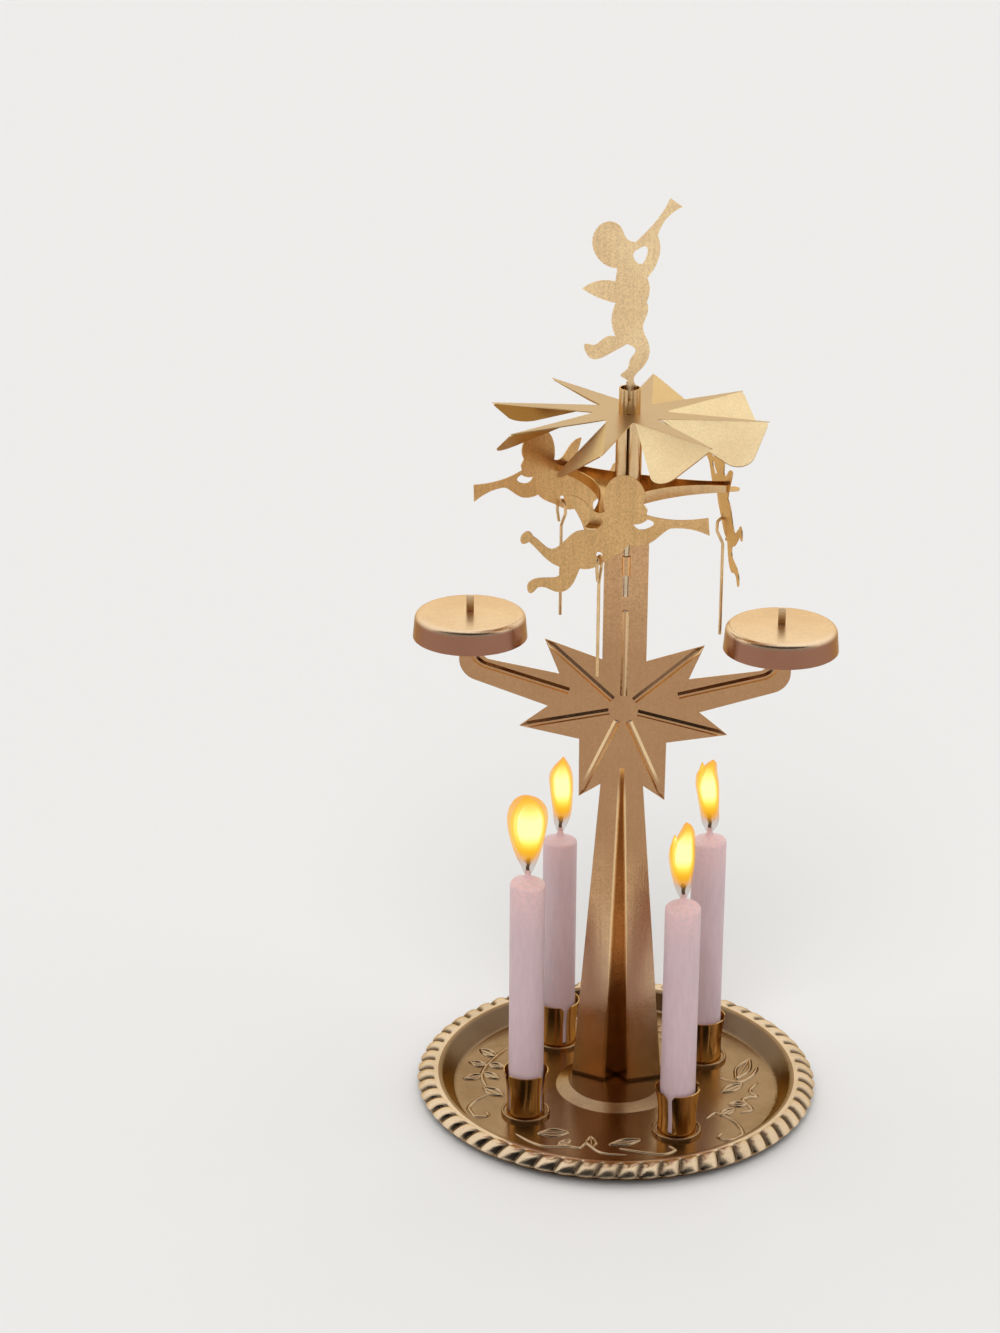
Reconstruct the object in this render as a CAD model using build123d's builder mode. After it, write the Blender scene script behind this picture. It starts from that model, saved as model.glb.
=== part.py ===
from build123d import *
import os
from math import atan2, cos, degrees, hypot, radians, sin, sqrt

os.makedirs("parts", exist_ok=True)

# A candle-driven angel chime carousel, in millimetres.
# The origin is the middle of the tray's underside, +Z is up, +X runs along the bell arms, -Y is the front.

# Sheet thicknesses
tray_sheet = 0.6
post_sheet = 0.6
cup_sheet = 0.4
bell_sheet = 0.5
hub_sheet = 0.5
leaf_sheet = 0.4

# Clearances
slot_clearance = 0.15
running_clearance = 0.05
seat_clearance = 0.02
candle_clearance = 0.08

# Tray
tray_diameter = 145.0
rim_band = 6.7
rim_drop = 3.6
rim_bulge = 1.1
lip_width = 1.4
wall_run = 4.6
wall_height = 6.2
bend_radius = 1.2
gadroon_count = 60
gadroon_depth = 0.3
gadroon_width = 2.4
boss_diameter = 44.0
plateau_diameter = 34.6
boss_rise = 2.0

# Candle seats, cups and rivets
cup_count = 4
cup_orbit = 39.5
cup_azimuth = 38.0
cup_turns = (233.0, 298.0, 333.0, 251.0)
seat_rise = 0.9
seat_margin = 2.1
bead_radius = 0.55
cup_height = 17.0
cup_flare = 1.35
cup_foot_flare = 0.25
prong_count = 3
slit_width = 1.7
slit_floor = 1.3
prong_corner = 2.4
rivet_diameter = 2.0
rivet_head_diameter = 4.6
rivet_head = 0.5

# Candles
candle_diameter = 12.7
candle_length = 91.4
candle_shares = (0.974, 0.908, 1.0, 0.967)
candle_shoulder = 2.0
candle_nipple = 1.6
wick_diameter = 1.5
wick_rise = 8.5

# Stand: leg, star, arms and upper post
leg_length = 119.6
leg_top_width = 15.2
leg_foot_width = 33.0
leg_fold = 4.4
leg_lip = 1.0
leg_back = 3.9
foot_tab_width = 5.0
foot_tab_fold = 3.0
star_rise = 29.3
star_ray = 37.7
ray_angles = (42.0, -12.5, -66.0)
notch_shares = (0.684, 0.706, 0.523)
notch_angles = (28.2, -0.2, -38.3)
post_notch_rise = 18.3
post_width = 15.5
post_rise = 64.5
rib_half_width = 1.25
rib_crown = 0.35
rib_depth = 0.9
rib_start = 5.2
rib_end = 34.5
post_rib_end = 37.0
leg_groove_half_width = 0.9
leg_groove_start = -22.9
arm_rib_start = (19.3, 6.0)
arm_rib_end_rise = 14.4
arm_rib_margin = 6.0

# Bells and the arm ends that carry them
strike_depth = 0.2
arm_end_width = 7.8
arm_rise = 17.0
arm_depth = 6.4
arm_inner_bend = 4.0
arm_outer_bend = 8.0
bell_seat_rise = 34.0
bell_tab_width = 2.6
bell_tab_rise = 6.5
bell_diameter = 40.4
bell_height = 9.2
bell_crown_flat = 6.0
bell_crown_drop = 0.5
bell_shoulder = 2.2
bell_skirt_flare = 0.6

# Needle and its straps
needle_diameter = 1.8
needle_seat_drop = 22.0
needle_length = 69.0
needle_point = 3.5
strap_wall = 0.6
front_strap = (8.0, 6.8)
back_strap = (15.4, 5.0)

# Rotor hub
rotor_azimuth = 15.0
rotor_arms = 3
hub_step_drop = 2.5
upper_tube_diameter = 7.4
upper_tube_height = 9.0
lower_tube_diameter = 9.1
lower_tube_height = 29.3
seam_width = 1.0
arm_reach = 34.5
arm_tip_width = 5.2
arm_valley = 11.0
gutter_root = 3.6
gutter_tip = 1.7
tongue_overhang = 3.0

# Pivot bearing
bearing_height = 4.5
socket_depth = 2.0
socket_mouth = 2.2
foot_slot_depth = 1.3

# Fan
blade_count = 8
fan_diameter = 96.0
fan_azimuth = 38.5
blade_root = 12.7
blade_turn = 26.5
blade_width = 23.3
blade_along = 29.7
blade_pitch = 35.0
blade_corner = 6.0
tip_corner = 1.5
ray_root_turn = 14.0

# Flying angels, their strikers and the angel on top
angel_span = 66.2
angel_drawn_span = 66.2
angel_drop = 1.15
angel_tilts = (0.0, -7.0, 0.0)
striker_hole = (1.9, -11.7)
striker_hole_diameter = 2.3
striker_wire = 1.1
striker_length = 43.3
loop_height = 9.5
loop_width = 4.4
loop_bend = 2.0
top_angel_height = 66.1
top_angel_drawn_height = 66.1
top_angel_shift = 1.1
foot_tab = 2.6

# Levels, worked out from the table up
tray_radius = tray_diameter / 2
floor_radius = tray_radius - rim_band - lip_width - wall_run
plateau_top = tray_sheet + boss_rise
seat_top = tray_sheet + seat_rise
candle_radius = candle_diameter / 2
cup_inner = candle_radius + candle_clearance
cup_outer = cup_inner + cup_sheet
seat_radius = cup_outer + seat_margin
cup_floor = seat_top + cup_sheet
candle_bottom = cup_floor + rivet_head
leg_top = plateau_top + leg_length
star_level = leg_top + star_rise
post_top = star_level + post_rise
bell_x = arm_reach + bell_diameter / 2 - strike_depth
bell_seat = star_level + bell_seat_rise
bell_top = bell_seat + seat_clearance + bell_sheet
needle_radius = needle_diameter / 2
needle_bottom = post_top - needle_seat_drop
needle_tip = needle_bottom + needle_length
hub_step = needle_tip - hub_step_drop
hub_top = hub_step + upper_tube_height
hub_bottom = hub_step - lower_tube_height
tongue_level = hub_bottom + hub_sheet / 2
angel_scale = angel_span / angel_drawn_span
top_angel_scale = top_angel_height / top_angel_drawn_height


def polar(radius, azimuth, level=0.0):
    """A point at a radius and an azimuth in degrees."""
    return (radius * cos(radians(azimuth)), radius * sin(radians(azimuth)), level)


def curves(stretches, scale=1.0):
    """Draws an outline: a line through two points, a smooth curve through more."""
    for stretch in stretches:
        points = [(scale * x, scale * y) for x, y in stretch]
        if len(points) == 2:
            Line(*points)
        else:
            Spline(*points)


# The tray is one revolved sheet with its lip rolled over
with BuildPart() as base_tray:
    lip_inner = floor_radius + wall_run
    rim_inner = lip_inner + lip_width
    rim_top = tray_sheet + wall_height
    with BuildSketch(Plane.XZ):
        with BuildLine():
            FilletPolyline(
                (0, plateau_top),
                (plateau_diameter / 2, plateau_top),
                (boss_diameter / 2, tray_sheet),
                (floor_radius, tray_sheet),
                (lip_inner, rim_top),
                (rim_inner, rim_top),
                radius=bend_radius,
            )
            ThreePointArc(
                (rim_inner, rim_top),
                (rim_inner + rim_band / 2, rim_top - rim_drop / 2 + rim_bulge),
                (tray_radius, rim_top - rim_drop),
            )
            offset(amount=tray_sheet, side=Side.RIGHT)
        make_face()
    revolve(axis=Axis.Z)
    # A raised seat with a bead round it under every cup
    with BuildSketch(Plane.XY):
        with PolarLocations(cup_orbit, cup_count, start_angle=cup_azimuth):
            Circle(seat_radius)
    extrude(amount=seat_top)
    with BuildSketch(Plane.XY):
        with PolarLocations(cup_orbit, cup_count, start_angle=cup_azimuth):
            Circle(seat_radius - tray_sheet)
    extrude(amount=seat_rise, mode=Mode.SUBTRACT)
    with Locations(Plane.XY.offset(seat_top)):
        with PolarLocations(cup_orbit, cup_count, start_angle=cup_azimuth):
            Torus(seat_radius - bead_radius, bead_radius)
    # Rivet holes through the seats
    with BuildSketch(Plane.XY):
        with PolarLocations(cup_orbit, cup_count, start_angle=cup_azimuth):
            Circle(rivet_diameter / 2 + running_clearance)
    extrude(amount=seat_top, mode=Mode.SUBTRACT)
    # Slots for the leg's two foot tabs
    flange_run = leg_foot_width / 2 - leg_fold
    flange_slant = degrees(atan2(leg_lip + leg_back, flange_run))
    tab_spot = ((leg_foot_width / 2 + leg_fold) / 2, (leg_back - leg_lip) / 2)
    tab_thickness = post_sheet * cos(radians(flange_slant))
    for side in (1, -1):
        with BuildSketch(Plane.XY):
            with Locations(Location((side * tab_spot[0], tab_spot[1]), side * flange_slant)):
                Rectangle(foot_tab_width + 2 * slot_clearance, tab_thickness + 2 * slot_clearance)
        extrude(amount=plateau_top, mode=Mode.SUBTRACT)
    # Gadroons: shallow grooves across the rolled rim
    rim_slope = atan2(rim_drop, rim_band)
    rim_length = hypot(rim_band, rim_drop)
    groove_floor = (rim_bulge * cos(rim_slope)) - gadroon_depth
    groove_start = (
        rim_inner + groove_floor * sin(rim_slope),
        rim_top + groove_floor * cos(rim_slope),
    )
    groove_planes = []
    for step in range(gadroon_count):
        azimuth = step * 360 / gadroon_count
        along = polar(cos(rim_slope), azimuth, -sin(rim_slope))
        start = polar(groove_start[0], azimuth, groove_start[1])
        groove_planes.append(Plane(start, polar(1, azimuth + 90), along))
    with BuildSketch(*groove_planes):
        with BuildLine():
            mouth = 2 * gadroon_depth
            Polyline((0, 0), (gadroon_width, mouth), (-gadroon_width, mouth), close=True)
        make_face()
    extrude(amount=rim_length, mode=Mode.SUBTRACT)
base_tray.part.label = "base_tray"
export_step(base_tray.part, "parts/base_tray.step")

# Three-pronged cups, each turned its own way, and the rivets that hold them
cup_places = [cup_azimuth + 360 / cup_count * step for step in range(cup_count)]
for number, (azimuth, turn) in enumerate(zip(cup_places, cup_turns), start=1):
    x, y, _ = polar(cup_orbit, azimuth)
    with BuildPart() as candle_cup:
        with BuildSketch(Plane((x, y, seat_top))):
            Circle(cup_outer)
            Circle(rivet_diameter / 2 + running_clearance, mode=Mode.SUBTRACT)
        extrude(amount=cup_sheet)
        with BuildSketch(Plane((x, y, seat_top), (1, 0, 0), (0, -1, 0))):
            with BuildLine():
                ThreePointArc(
                    (cup_inner + cup_foot_flare, 0),
                    (cup_inner, cup_height / (1 + sqrt(cup_flare / cup_foot_flare))),
                    (cup_inner + cup_flare, cup_height),
                )
                offset(amount=cup_sheet, side=Side.RIGHT)
            make_face()
        revolve(axis=Axis((x, y, 0), (0, 0, 1)))
        for step in range(prong_count):
            facing = turn + 360 / prong_count * step
            outward = polar(1, facing)
            sideways = (-outward[1], outward[0], 0)
            with BuildSketch(Plane((x, y, cup_floor), sideways, outward)):
                with BuildLine():
                    half = slit_width / 2
                    top = cup_height
                    knee = top - cup_sheet - prong_corner
                    l1 = Line((-half, slit_floor), (-half, knee))
                    l2 = RadiusArc(l1 @ 1, (-half - prong_corner, top), -prong_corner * 1.2)
                    l3 = Line(l2 @ 1, (half + prong_corner, top))
                    l4 = RadiusArc(l3 @ 1, (half, knee), -prong_corner * 1.2)
                    l5 = Line(l4 @ 1, (half, slit_floor))
                    ThreePointArc(l5 @ 1, (0, slit_floor - half), l1 @ 0)
                make_face()
            extrude(amount=cup_outer + cup_flare + cup_height, mode=Mode.SUBTRACT)
    candle_cup.part.label = f"candle_cup_{number}"
    export_step(candle_cup.part, f"parts/candle_cup_{number}.step")

with BuildPart() as cup_rivets:
    for azimuth in cup_places:
        x, y, _ = polar(cup_orbit, azimuth)
        tail = seat_rise / 2
        with BuildSketch(Plane((x, y, seat_rise - tail))):
            Circle(rivet_head_diameter / 2)
        extrude(amount=tail)
        with BuildSketch(Plane((x, y, seat_rise))):
            Circle(rivet_diameter / 2)
        extrude(amount=candle_bottom - seat_rise)
        with BuildSketch(Plane((x, y, cup_floor))):
            Circle(rivet_head_diameter / 2)
        extrude(amount=rivet_head)
cup_rivets.part.label = "cup_rivets"
export_step(cup_rivets.part, "parts/cup_rivets.step")

# Candles with a softened shoulder and a small cone up to the wick, which runs right through
for number, (azimuth, share) in enumerate(zip(cup_places, candle_shares), start=1):
    length = candle_length * share
    x, y, _ = polar(cup_orbit, azimuth)
    bore = wick_diameter / 2 + running_clearance
    with BuildPart() as candle:
        with BuildSketch(Plane((x, y, candle_bottom), (1, 0, 0), (0, -1, 0))):
            with BuildLine():
                Polyline((bore, 0), (candle_radius, 0), (candle_radius, length - candle_shoulder))
                RadiusArc(
                    (candle_radius, length - candle_shoulder),
                    (candle_radius - candle_shoulder, length),
                    -candle_shoulder,
                )
                top = (candle_radius - candle_shoulder, length)
                Polyline(top, (bore, length + candle_nipple), (bore, 0))
            make_face()
        revolve(axis=Axis((x, y, 0), (0, 0, 1)))
    candle.part.label = f"candle_{number}"
    export_step(candle.part, f"parts/candle_{number}.step")

    with BuildPart() as wick:
        with BuildSketch(Plane((x, y, candle_bottom))):
            Circle(wick_diameter / 2)
        extrude(amount=length + wick_rise)
    wick.part.label = f"wick_{number}"
    export_step(wick.part, f"parts/wick_{number}.step")

# The stand is one stamping: a folded leg, a ribbed star, two bell arms and an upper post
with BuildPart() as stand_post:
    ray_tips = [polar(star_ray, angle)[:2] for angle in ray_angles]
    notches = [polar(star_ray * share, angle)[:2] for share, angle in zip(notch_shares, notch_angles)]
    inner_x, outer_x = bell_x - arm_end_width / 2, bell_x + arm_end_width / 2
    tab_half = bell_tab_width / 2
    with BuildSketch(Plane((0, 0, star_level), (1, 0, 0), (0, -1, 0))):
        with BuildLine():
            Polyline(
                (0, -star_rise),
                (leg_top_width / 2, -star_rise),
                ray_tips[2],
                notches[2],
                ray_tips[1],
                notches[1],
            )
            FilletPolyline(
                notches[1],
                (outer_x, arm_rise - arm_depth),
                (outer_x, bell_seat_rise),
                radius=arm_outer_bend,
            )
            Polyline(
                (outer_x, bell_seat_rise),
                (bell_x + tab_half, bell_seat_rise),
                (bell_x + tab_half, bell_seat_rise + bell_tab_rise),
                (bell_x - tab_half, bell_seat_rise + bell_tab_rise),
                (bell_x - tab_half, bell_seat_rise),
                (inner_x, bell_seat_rise),
            )
            inner_side = [(inner_x, bell_seat_rise), (inner_x, arm_rise), notches[0]]
            FilletPolyline(*inner_side, radius=arm_inner_bend)
            Polyline(
                notches[0],
                ray_tips[0],
                (post_width / 2, post_notch_rise),
                (post_width / 2, post_rise),
                (0, post_rise),
                (0, -star_rise),
            )
        make_face()
        mirror(about=Plane.YZ)
    extrude(amount=post_sheet / 2, both=True)
    # The leg is folded: flanges swept back from the lips of a groove that deepens to the foot
    half_top, half_foot = leg_top_width / 2, leg_foot_width / 2
    foot_fold = [(half_foot, leg_back), (leg_fold, -leg_lip), (0, leg_back)]
    top_fold = [(half_top, 0), (leg_groove_half_width, 0), (0, rib_depth)]
    for level, fold in ((plateau_top, foot_fold), (leg_top, top_fold)):
        folded = fold + [(-px, py) for px, py in reversed(fold[:-1])]
        with BuildSketch(Plane.XY.offset(level)):
            with BuildLine():
                Polyline(
                    *[(px, py - post_sheet / 2) for px, py in folded],
                    *[(px, py + post_sheet / 2) for px, py in reversed(folded)],
                    close=True,
                )
            make_face()
    loft(ruled=True)
    # Two foot tabs pass through the tray's boss and fold over underneath
    fold_top_level = plateau_top - tray_sheet - running_clearance
    for side in (1, -1):
        spot = Location((side * tab_spot[0], tab_spot[1]), side * flange_slant)
        with BuildSketch(Plane.XY.offset(fold_top_level - tab_thickness)):
            with Locations(spot):
                Rectangle(foot_tab_width, tab_thickness)
        extrude(amount=plateau_top - fold_top_level + tab_thickness)
        with BuildSketch(Plane.XY.offset(fold_top_level - tab_thickness)):
            with Locations(spot):
                Rectangle(foot_tab_width, foot_tab_fold, align=(Align.CENTER, Align.MIN))
        extrude(amount=tab_thickness)
    # Pressings: ribs that stand out in front, and behind the sheet the start of the leg's groove
    ribs = [((0, rib_start), (0, post_rib_end))]
    for side in (1, -1):
        for angle in ray_angles:
            start, end = polar(rib_start, angle), polar(rib_end, angle)
            ribs.append(((side * start[0], start[1]), (side * end[0], end[1])))
        start, end = arm_rib_start, (bell_x - arm_rib_margin, arm_rib_end_rise)
        ribs.append(((side * start[0], start[1]), (side * end[0], end[1])))
    pressings = [(start, end, -1, rib_half_width, rib_crown) for start, end in ribs]
    pressings.append(((0, leg_groove_start), (0, -star_rise), 1, leg_groove_half_width, 0))
    sections = []
    for (x0, z0), (x1, z1), facing, half, crown in pressings:
        length = hypot(x1 - x0, z1 - z0)
        along = ((x1 - x0) / length, 0, (z1 - z0) / length)
        sections.append((Plane((x0, 0, star_level + z0), (0, facing, 0), along), length, half, crown))
    skin = post_sheet / 2
    for plane, length, half, crown in sections:
        raised = [(0, -half), (skin, -half), (skin + rib_depth, -crown)]
        raised += [(skin + rib_depth, crown), (skin, half), (0, half)]
        with BuildSketch(plane):
            with BuildLine():
                Polyline(*dict.fromkeys(raised), close=True)
            make_face()
        extrude(amount=length)
    for plane, length, half, crown in sections:
        mouth = 2 * half - crown
        hollow = [(-skin - rib_depth, -mouth), (rib_depth - skin, -crown)]
        hollow += [(rib_depth - skin, crown), (-skin - rib_depth, mouth)]
        with BuildSketch(plane):
            with BuildLine():
                Polyline(*dict.fromkeys(hollow), close=True)
            make_face()
        extrude(amount=length, mode=Mode.SUBTRACT)
    # An open window for the needle, bridged by one strap in front and one behind
    strap_inner = needle_radius + running_clearance
    with BuildSketch(Plane.XZ):
        with Locations((0, needle_bottom)):
            Rectangle(2 * strap_inner, needle_seat_drop, align=(Align.CENTER, Align.MIN))
    extrude(amount=post_sheet, both=True, mode=Mode.SUBTRACT)
    for (rise, height), turn in ((front_strap, 180), (back_strap, 0)):
        with BuildSketch(Plane.XY.offset(needle_bottom + rise)):
            with BuildLine():
                inner = CenterArc((0, 0), strap_inner, turn, 180)
                outer = CenterArc((0, 0), strap_inner + strap_wall, turn, 180)
                Line(inner @ 0, outer @ 0)
                Line(inner @ 1, outer @ 1)
            make_face()
        extrude(amount=height)
stand_post.part.label = "stand_post"
export_step(stand_post.part, "parts/stand_post.step")

# A steel needle with a ground point
with BuildPart() as pivot_needle:
    with BuildSketch(Plane.XZ):
        with BuildLine():
            Polyline(
                (0, needle_bottom),
                (needle_radius, needle_bottom),
                (needle_radius, needle_tip - needle_point),
                (0, needle_tip),
                close=True,
            )
        make_face()
    revolve(axis=Axis.Z)
pivot_needle.part.label = "pivot_needle"
export_step(pivot_needle.part, "parts/pivot_needle.step")

# Shallow bells that sit loose on the arm ends
for name, side in (("bell_left", -1), ("bell_right", 1)):
    x = side * bell_x
    hole = hypot(bell_tab_width, post_sheet) / 2 + running_clearance
    with BuildPart() as bell:
        with BuildSketch(Plane((x, 0, bell_top), (1, 0, 0), (0, -1, 0))):
            with BuildLine():
                rim = bell_diameter / 2
                shoulder = rim - bell_skirt_flare
                l1 = Line((hole, 0), (bell_crown_flat, 0))
                l2 = Line(l1 @ 1, (shoulder - bell_shoulder, -bell_crown_drop))
                l3 = TangentArc(l2 @ 1, (shoulder, -bell_crown_drop - bell_shoulder), tangent=l2 % 1)
                Line(l3 @ 1, (rim, -bell_height))
                offset(amount=bell_sheet, side=Side.RIGHT)
            make_face()
        revolve(axis=Axis((x, 0, 0), (0, 0, 1)))
    bell.part.label = name
    export_step(bell.part, f"parts/{name}.step")

# The hub: a stepped, seamed tube and a spider of three gutters that narrow to tongues
angel_face = arm_reach - leaf_sheet / 2 - seat_clearance
arm_places = [rotor_azimuth + 360 / rotor_arms * step for step in range(rotor_arms)]
tip_turn = degrees(atan2(arm_tip_width / 2, angel_face))
tip_radius = hypot(arm_tip_width / 2, angel_face)
with BuildSketch() as spider:
    with BuildLine():
        for azimuth in arm_places:
            right, left = (polar(tip_radius, azimuth + turn) for turn in (-tip_turn, tip_turn))
            following = polar(tip_radius, azimuth + 360 / rotor_arms - tip_turn)
            Line(right, left)
            ThreePointArc(left, polar(arm_valley, azimuth + 180 / rotor_arms), following)
    make_face()
with BuildSketch() as gutter_floor:
    add(spider.sketch)
    offset(amount=-hub_sheet)
    for azimuth in arm_places:
        with Locations(Location(polar(angel_face, azimuth), azimuth)):
            Rectangle(4 * hub_sheet, arm_tip_width - 2 * hub_sheet)
with BuildPart() as rotor_hub:
    with BuildSketch(Plane.XY.offset(hub_bottom)):
        add(spider.sketch)
    extrude(amount=gutter_root + hub_sheet)
    with BuildSketch(Plane.XY.offset(hub_bottom + hub_sheet)):
        add(gutter_floor.sketch)
    extrude(amount=gutter_root, mode=Mode.SUBTRACT)
    # The gutters grow shallower towards the tongues
    with BuildSketch(Plane((0, 0, hub_bottom + hub_sheet), (1, 0, 0), (0, -1, 0))):
        with BuildLine():
            Polyline(
                (arm_valley, gutter_root),
                (arm_reach + gutter_root, gutter_tip),
                (arm_reach + gutter_root, 2 * gutter_root),
                (arm_valley, 2 * gutter_root),
                close=True,
            )
        make_face()
    revolve(axis=Axis.Z, mode=Mode.SUBTRACT)
    for azimuth in arm_places:
        with BuildSketch(Plane(polar(0, azimuth, hub_bottom), polar(1, azimuth), (0, 0, 1))):
            with Locations((angel_face + tongue_overhang / 2, 0)):
                Rectangle(tongue_overhang + 2 * hub_sheet, arm_tip_width - 2 * hub_sheet)
            with Locations((angel_face + tongue_overhang, 0)):
                Circle(arm_tip_width / 2 - hub_sheet)
        extrude(amount=hub_sheet)
    with BuildSketch(Plane.XY.offset(hub_bottom)):
        Circle(lower_tube_diameter / 2)
    extrude(amount=lower_tube_height)
    with BuildSketch(Plane.XY.offset(hub_step)):
        Circle(upper_tube_diameter / 2)
    extrude(amount=upper_tube_height)
    with BuildSketch(Plane.XY.offset(hub_bottom)):
        Circle(lower_tube_diameter / 2 - hub_sheet)
    extrude(amount=lower_tube_height - hub_sheet, mode=Mode.SUBTRACT)
    with BuildSketch(Plane.XY.offset(hub_bottom)):
        Circle(upper_tube_diameter / 2 - hub_sheet)
    extrude(amount=lower_tube_height + upper_tube_height, mode=Mode.SUBTRACT)
    with BuildSketch(Plane.XZ):
        with Locations((0, hub_bottom + hub_sheet)):
            Rectangle(seam_width, lower_tube_height + upper_tube_height, align=(Align.CENTER, Align.MIN))
    extrude(amount=lower_tube_diameter, mode=Mode.SUBTRACT)
rotor_hub.part.label = "rotor_hub"
export_step(rotor_hub.part, "parts/rotor_hub.step")

# The plug in the tube: a socket for the needle's point below, a slot for the top angel's foot above
with BuildPart() as pivot_bearing:
    bearing_radius = upper_tube_diameter / 2 - hub_sheet - seat_clearance
    socket_top = needle_tip + running_clearance
    bearing_bottom = socket_top - socket_depth
    bearing_top = bearing_bottom + bearing_height
    with BuildSketch(Plane.XZ):
        with BuildLine():
            Polyline(
                (0, socket_top),
                (socket_mouth, bearing_bottom),
                (bearing_radius, bearing_bottom),
                (bearing_radius, bearing_top),
                (0, bearing_top),
                close=True,
            )
        make_face()
    revolve(axis=Axis.Z)
    with BuildSketch(Plane.XY.offset(bearing_top - foot_slot_depth)):
        Rectangle(foot_tab + 2 * seat_clearance, leaf_sheet + 2 * seat_clearance)
    extrude(amount=foot_slot_depth, mode=Mode.SUBTRACT)
pivot_bearing.part.label = "pivot_bearing"
export_step(pivot_bearing.part, "parts/pivot_bearing.step")

# The fan: flat rays from a centre ring, and a blade folded down along one edge of every ray
with BuildPart() as fan_wheel:
    fan_radius = fan_diameter / 2
    fan_places = [fan_azimuth + 360 / blade_count * step for step in range(blade_count)]
    with BuildSketch(Plane.XY.offset(hub_step)):
        Circle(blade_root)
        for azimuth in fan_places:
            with BuildLine():
                Polyline(
                    (0, 0),
                    polar(blade_root, azimuth - blade_turn),
                    polar(fan_radius, azimuth),
                    polar(blade_root, azimuth + ray_root_turn),
                    close=True,
                )
            make_face()
        Circle(upper_tube_diameter / 2 + seat_clearance, mode=Mode.SUBTRACT)
    extrude(amount=leaf_sheet)
    for azimuth in fan_places:
        tip, root = Vector(*polar(fan_radius, azimuth)), Vector(*polar(blade_root, azimuth - blade_turn))
        fold = (tip - root).normalized()
        fold_length = (tip - root).length
        downhill = fold.cross(Vector(0, 0, 1))
        lean = Vector(0, 0, cos(radians(blade_pitch))) + downhill * sin(radians(blade_pitch))
        hinge = root - downhill * leaf_sheet + Vector(0, 0, hub_step)
        with BuildSketch(Plane(hinge, fold, lean)):
            with BuildLine():
                FilletPolyline(
                    (0, 0),
                    (blade_along, -blade_width),
                    (fold_length, 0),
                    radius=[0, blade_corner, tip_corner],
                    close=True,
                )
            make_face()
        extrude(amount=leaf_sheet)
fan_wheel.part.label = "fan_wheel"
export_step(fan_wheel.part, "parts/fan_wheel.step")

# Flying angel, drawn from the slot that hangs it on the hub's tongue; it faces along +x
flying_outline = [
    [(18.2, 4.6), (25.2, 4.0), (32.8, 4.7), (39.6, 6.3)],
    [(39.6, 6.3), (40.2, 0.2)],
    [(40.2, 0.2), (34.4, 1.5), (26.6, 0.9)],
    [(26.6, 0.9), (23.2, -2.0), (19.8, -5.0), (16.2, -6.4), (12.2, -6.6)],
    [(12.2, -6.6), (9.6, -9.6), (5.0, -12.9), (1.0, -15.9), (-5.0, -17.4)],
    [(-5.0, -17.4), (-6.6, -21.6), (-9.6, -25.8), (-13.0, -26.9), (-16.6, -26.0), (-20.2, -26.5)],
    [(-20.2, -26.5), (-23.4, -28.2), (-23.6, -25.6), (-21.9, -23.7), (-18.2, -22.5), (-13.4, -21.6)],
    [(-13.4, -21.6), (-12.0, -20.3), (-12.2, -17.7)],
    [(-12.2, -17.7), (-16.3, -16.0), (-19.5, -13.4), (-23.2, -10.3)],
    [(-23.2, -10.3), (-26.2, -10.7), (-26.0, -8.4), (-23.8, -6.6), (-21.9, -8.1)],
    [(-21.9, -8.1), (-18.8, -10.1), (-15.2, -11.8), (-12.9, -10.6), (-8.5, -6.0), (-3.6, -3.6)],
    [(-3.6, -3.6), (-5.3, 0.6), (-7.9, 4.9), (-9.3, 7.9)],
    [(-9.3, 7.9), (-6.6, 7.9), (-3.2, 6.1), (0.6, 3.3), (3.8, 3.9)],
    [(3.8, 3.9), (3.2, 9.6), (5.8, 15.4), (10.6, 17.5), (15.4, 15.6), (17.5, 11.8), (16.9, 8.4)],
    [(16.9, 8.4), (18.5, 6.4)],
    [(18.5, 6.4), (18.2, 4.6)],
]
flying_arm_gap = [
    [(13.6, 0.7), (16.4, 1.4), (18.7, 3.1)],
    [(18.7, 3.1), (20.9, 1.9), (18.4, -0.2), (15.6, -0.8), (13.6, 0.7)],
]
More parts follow.
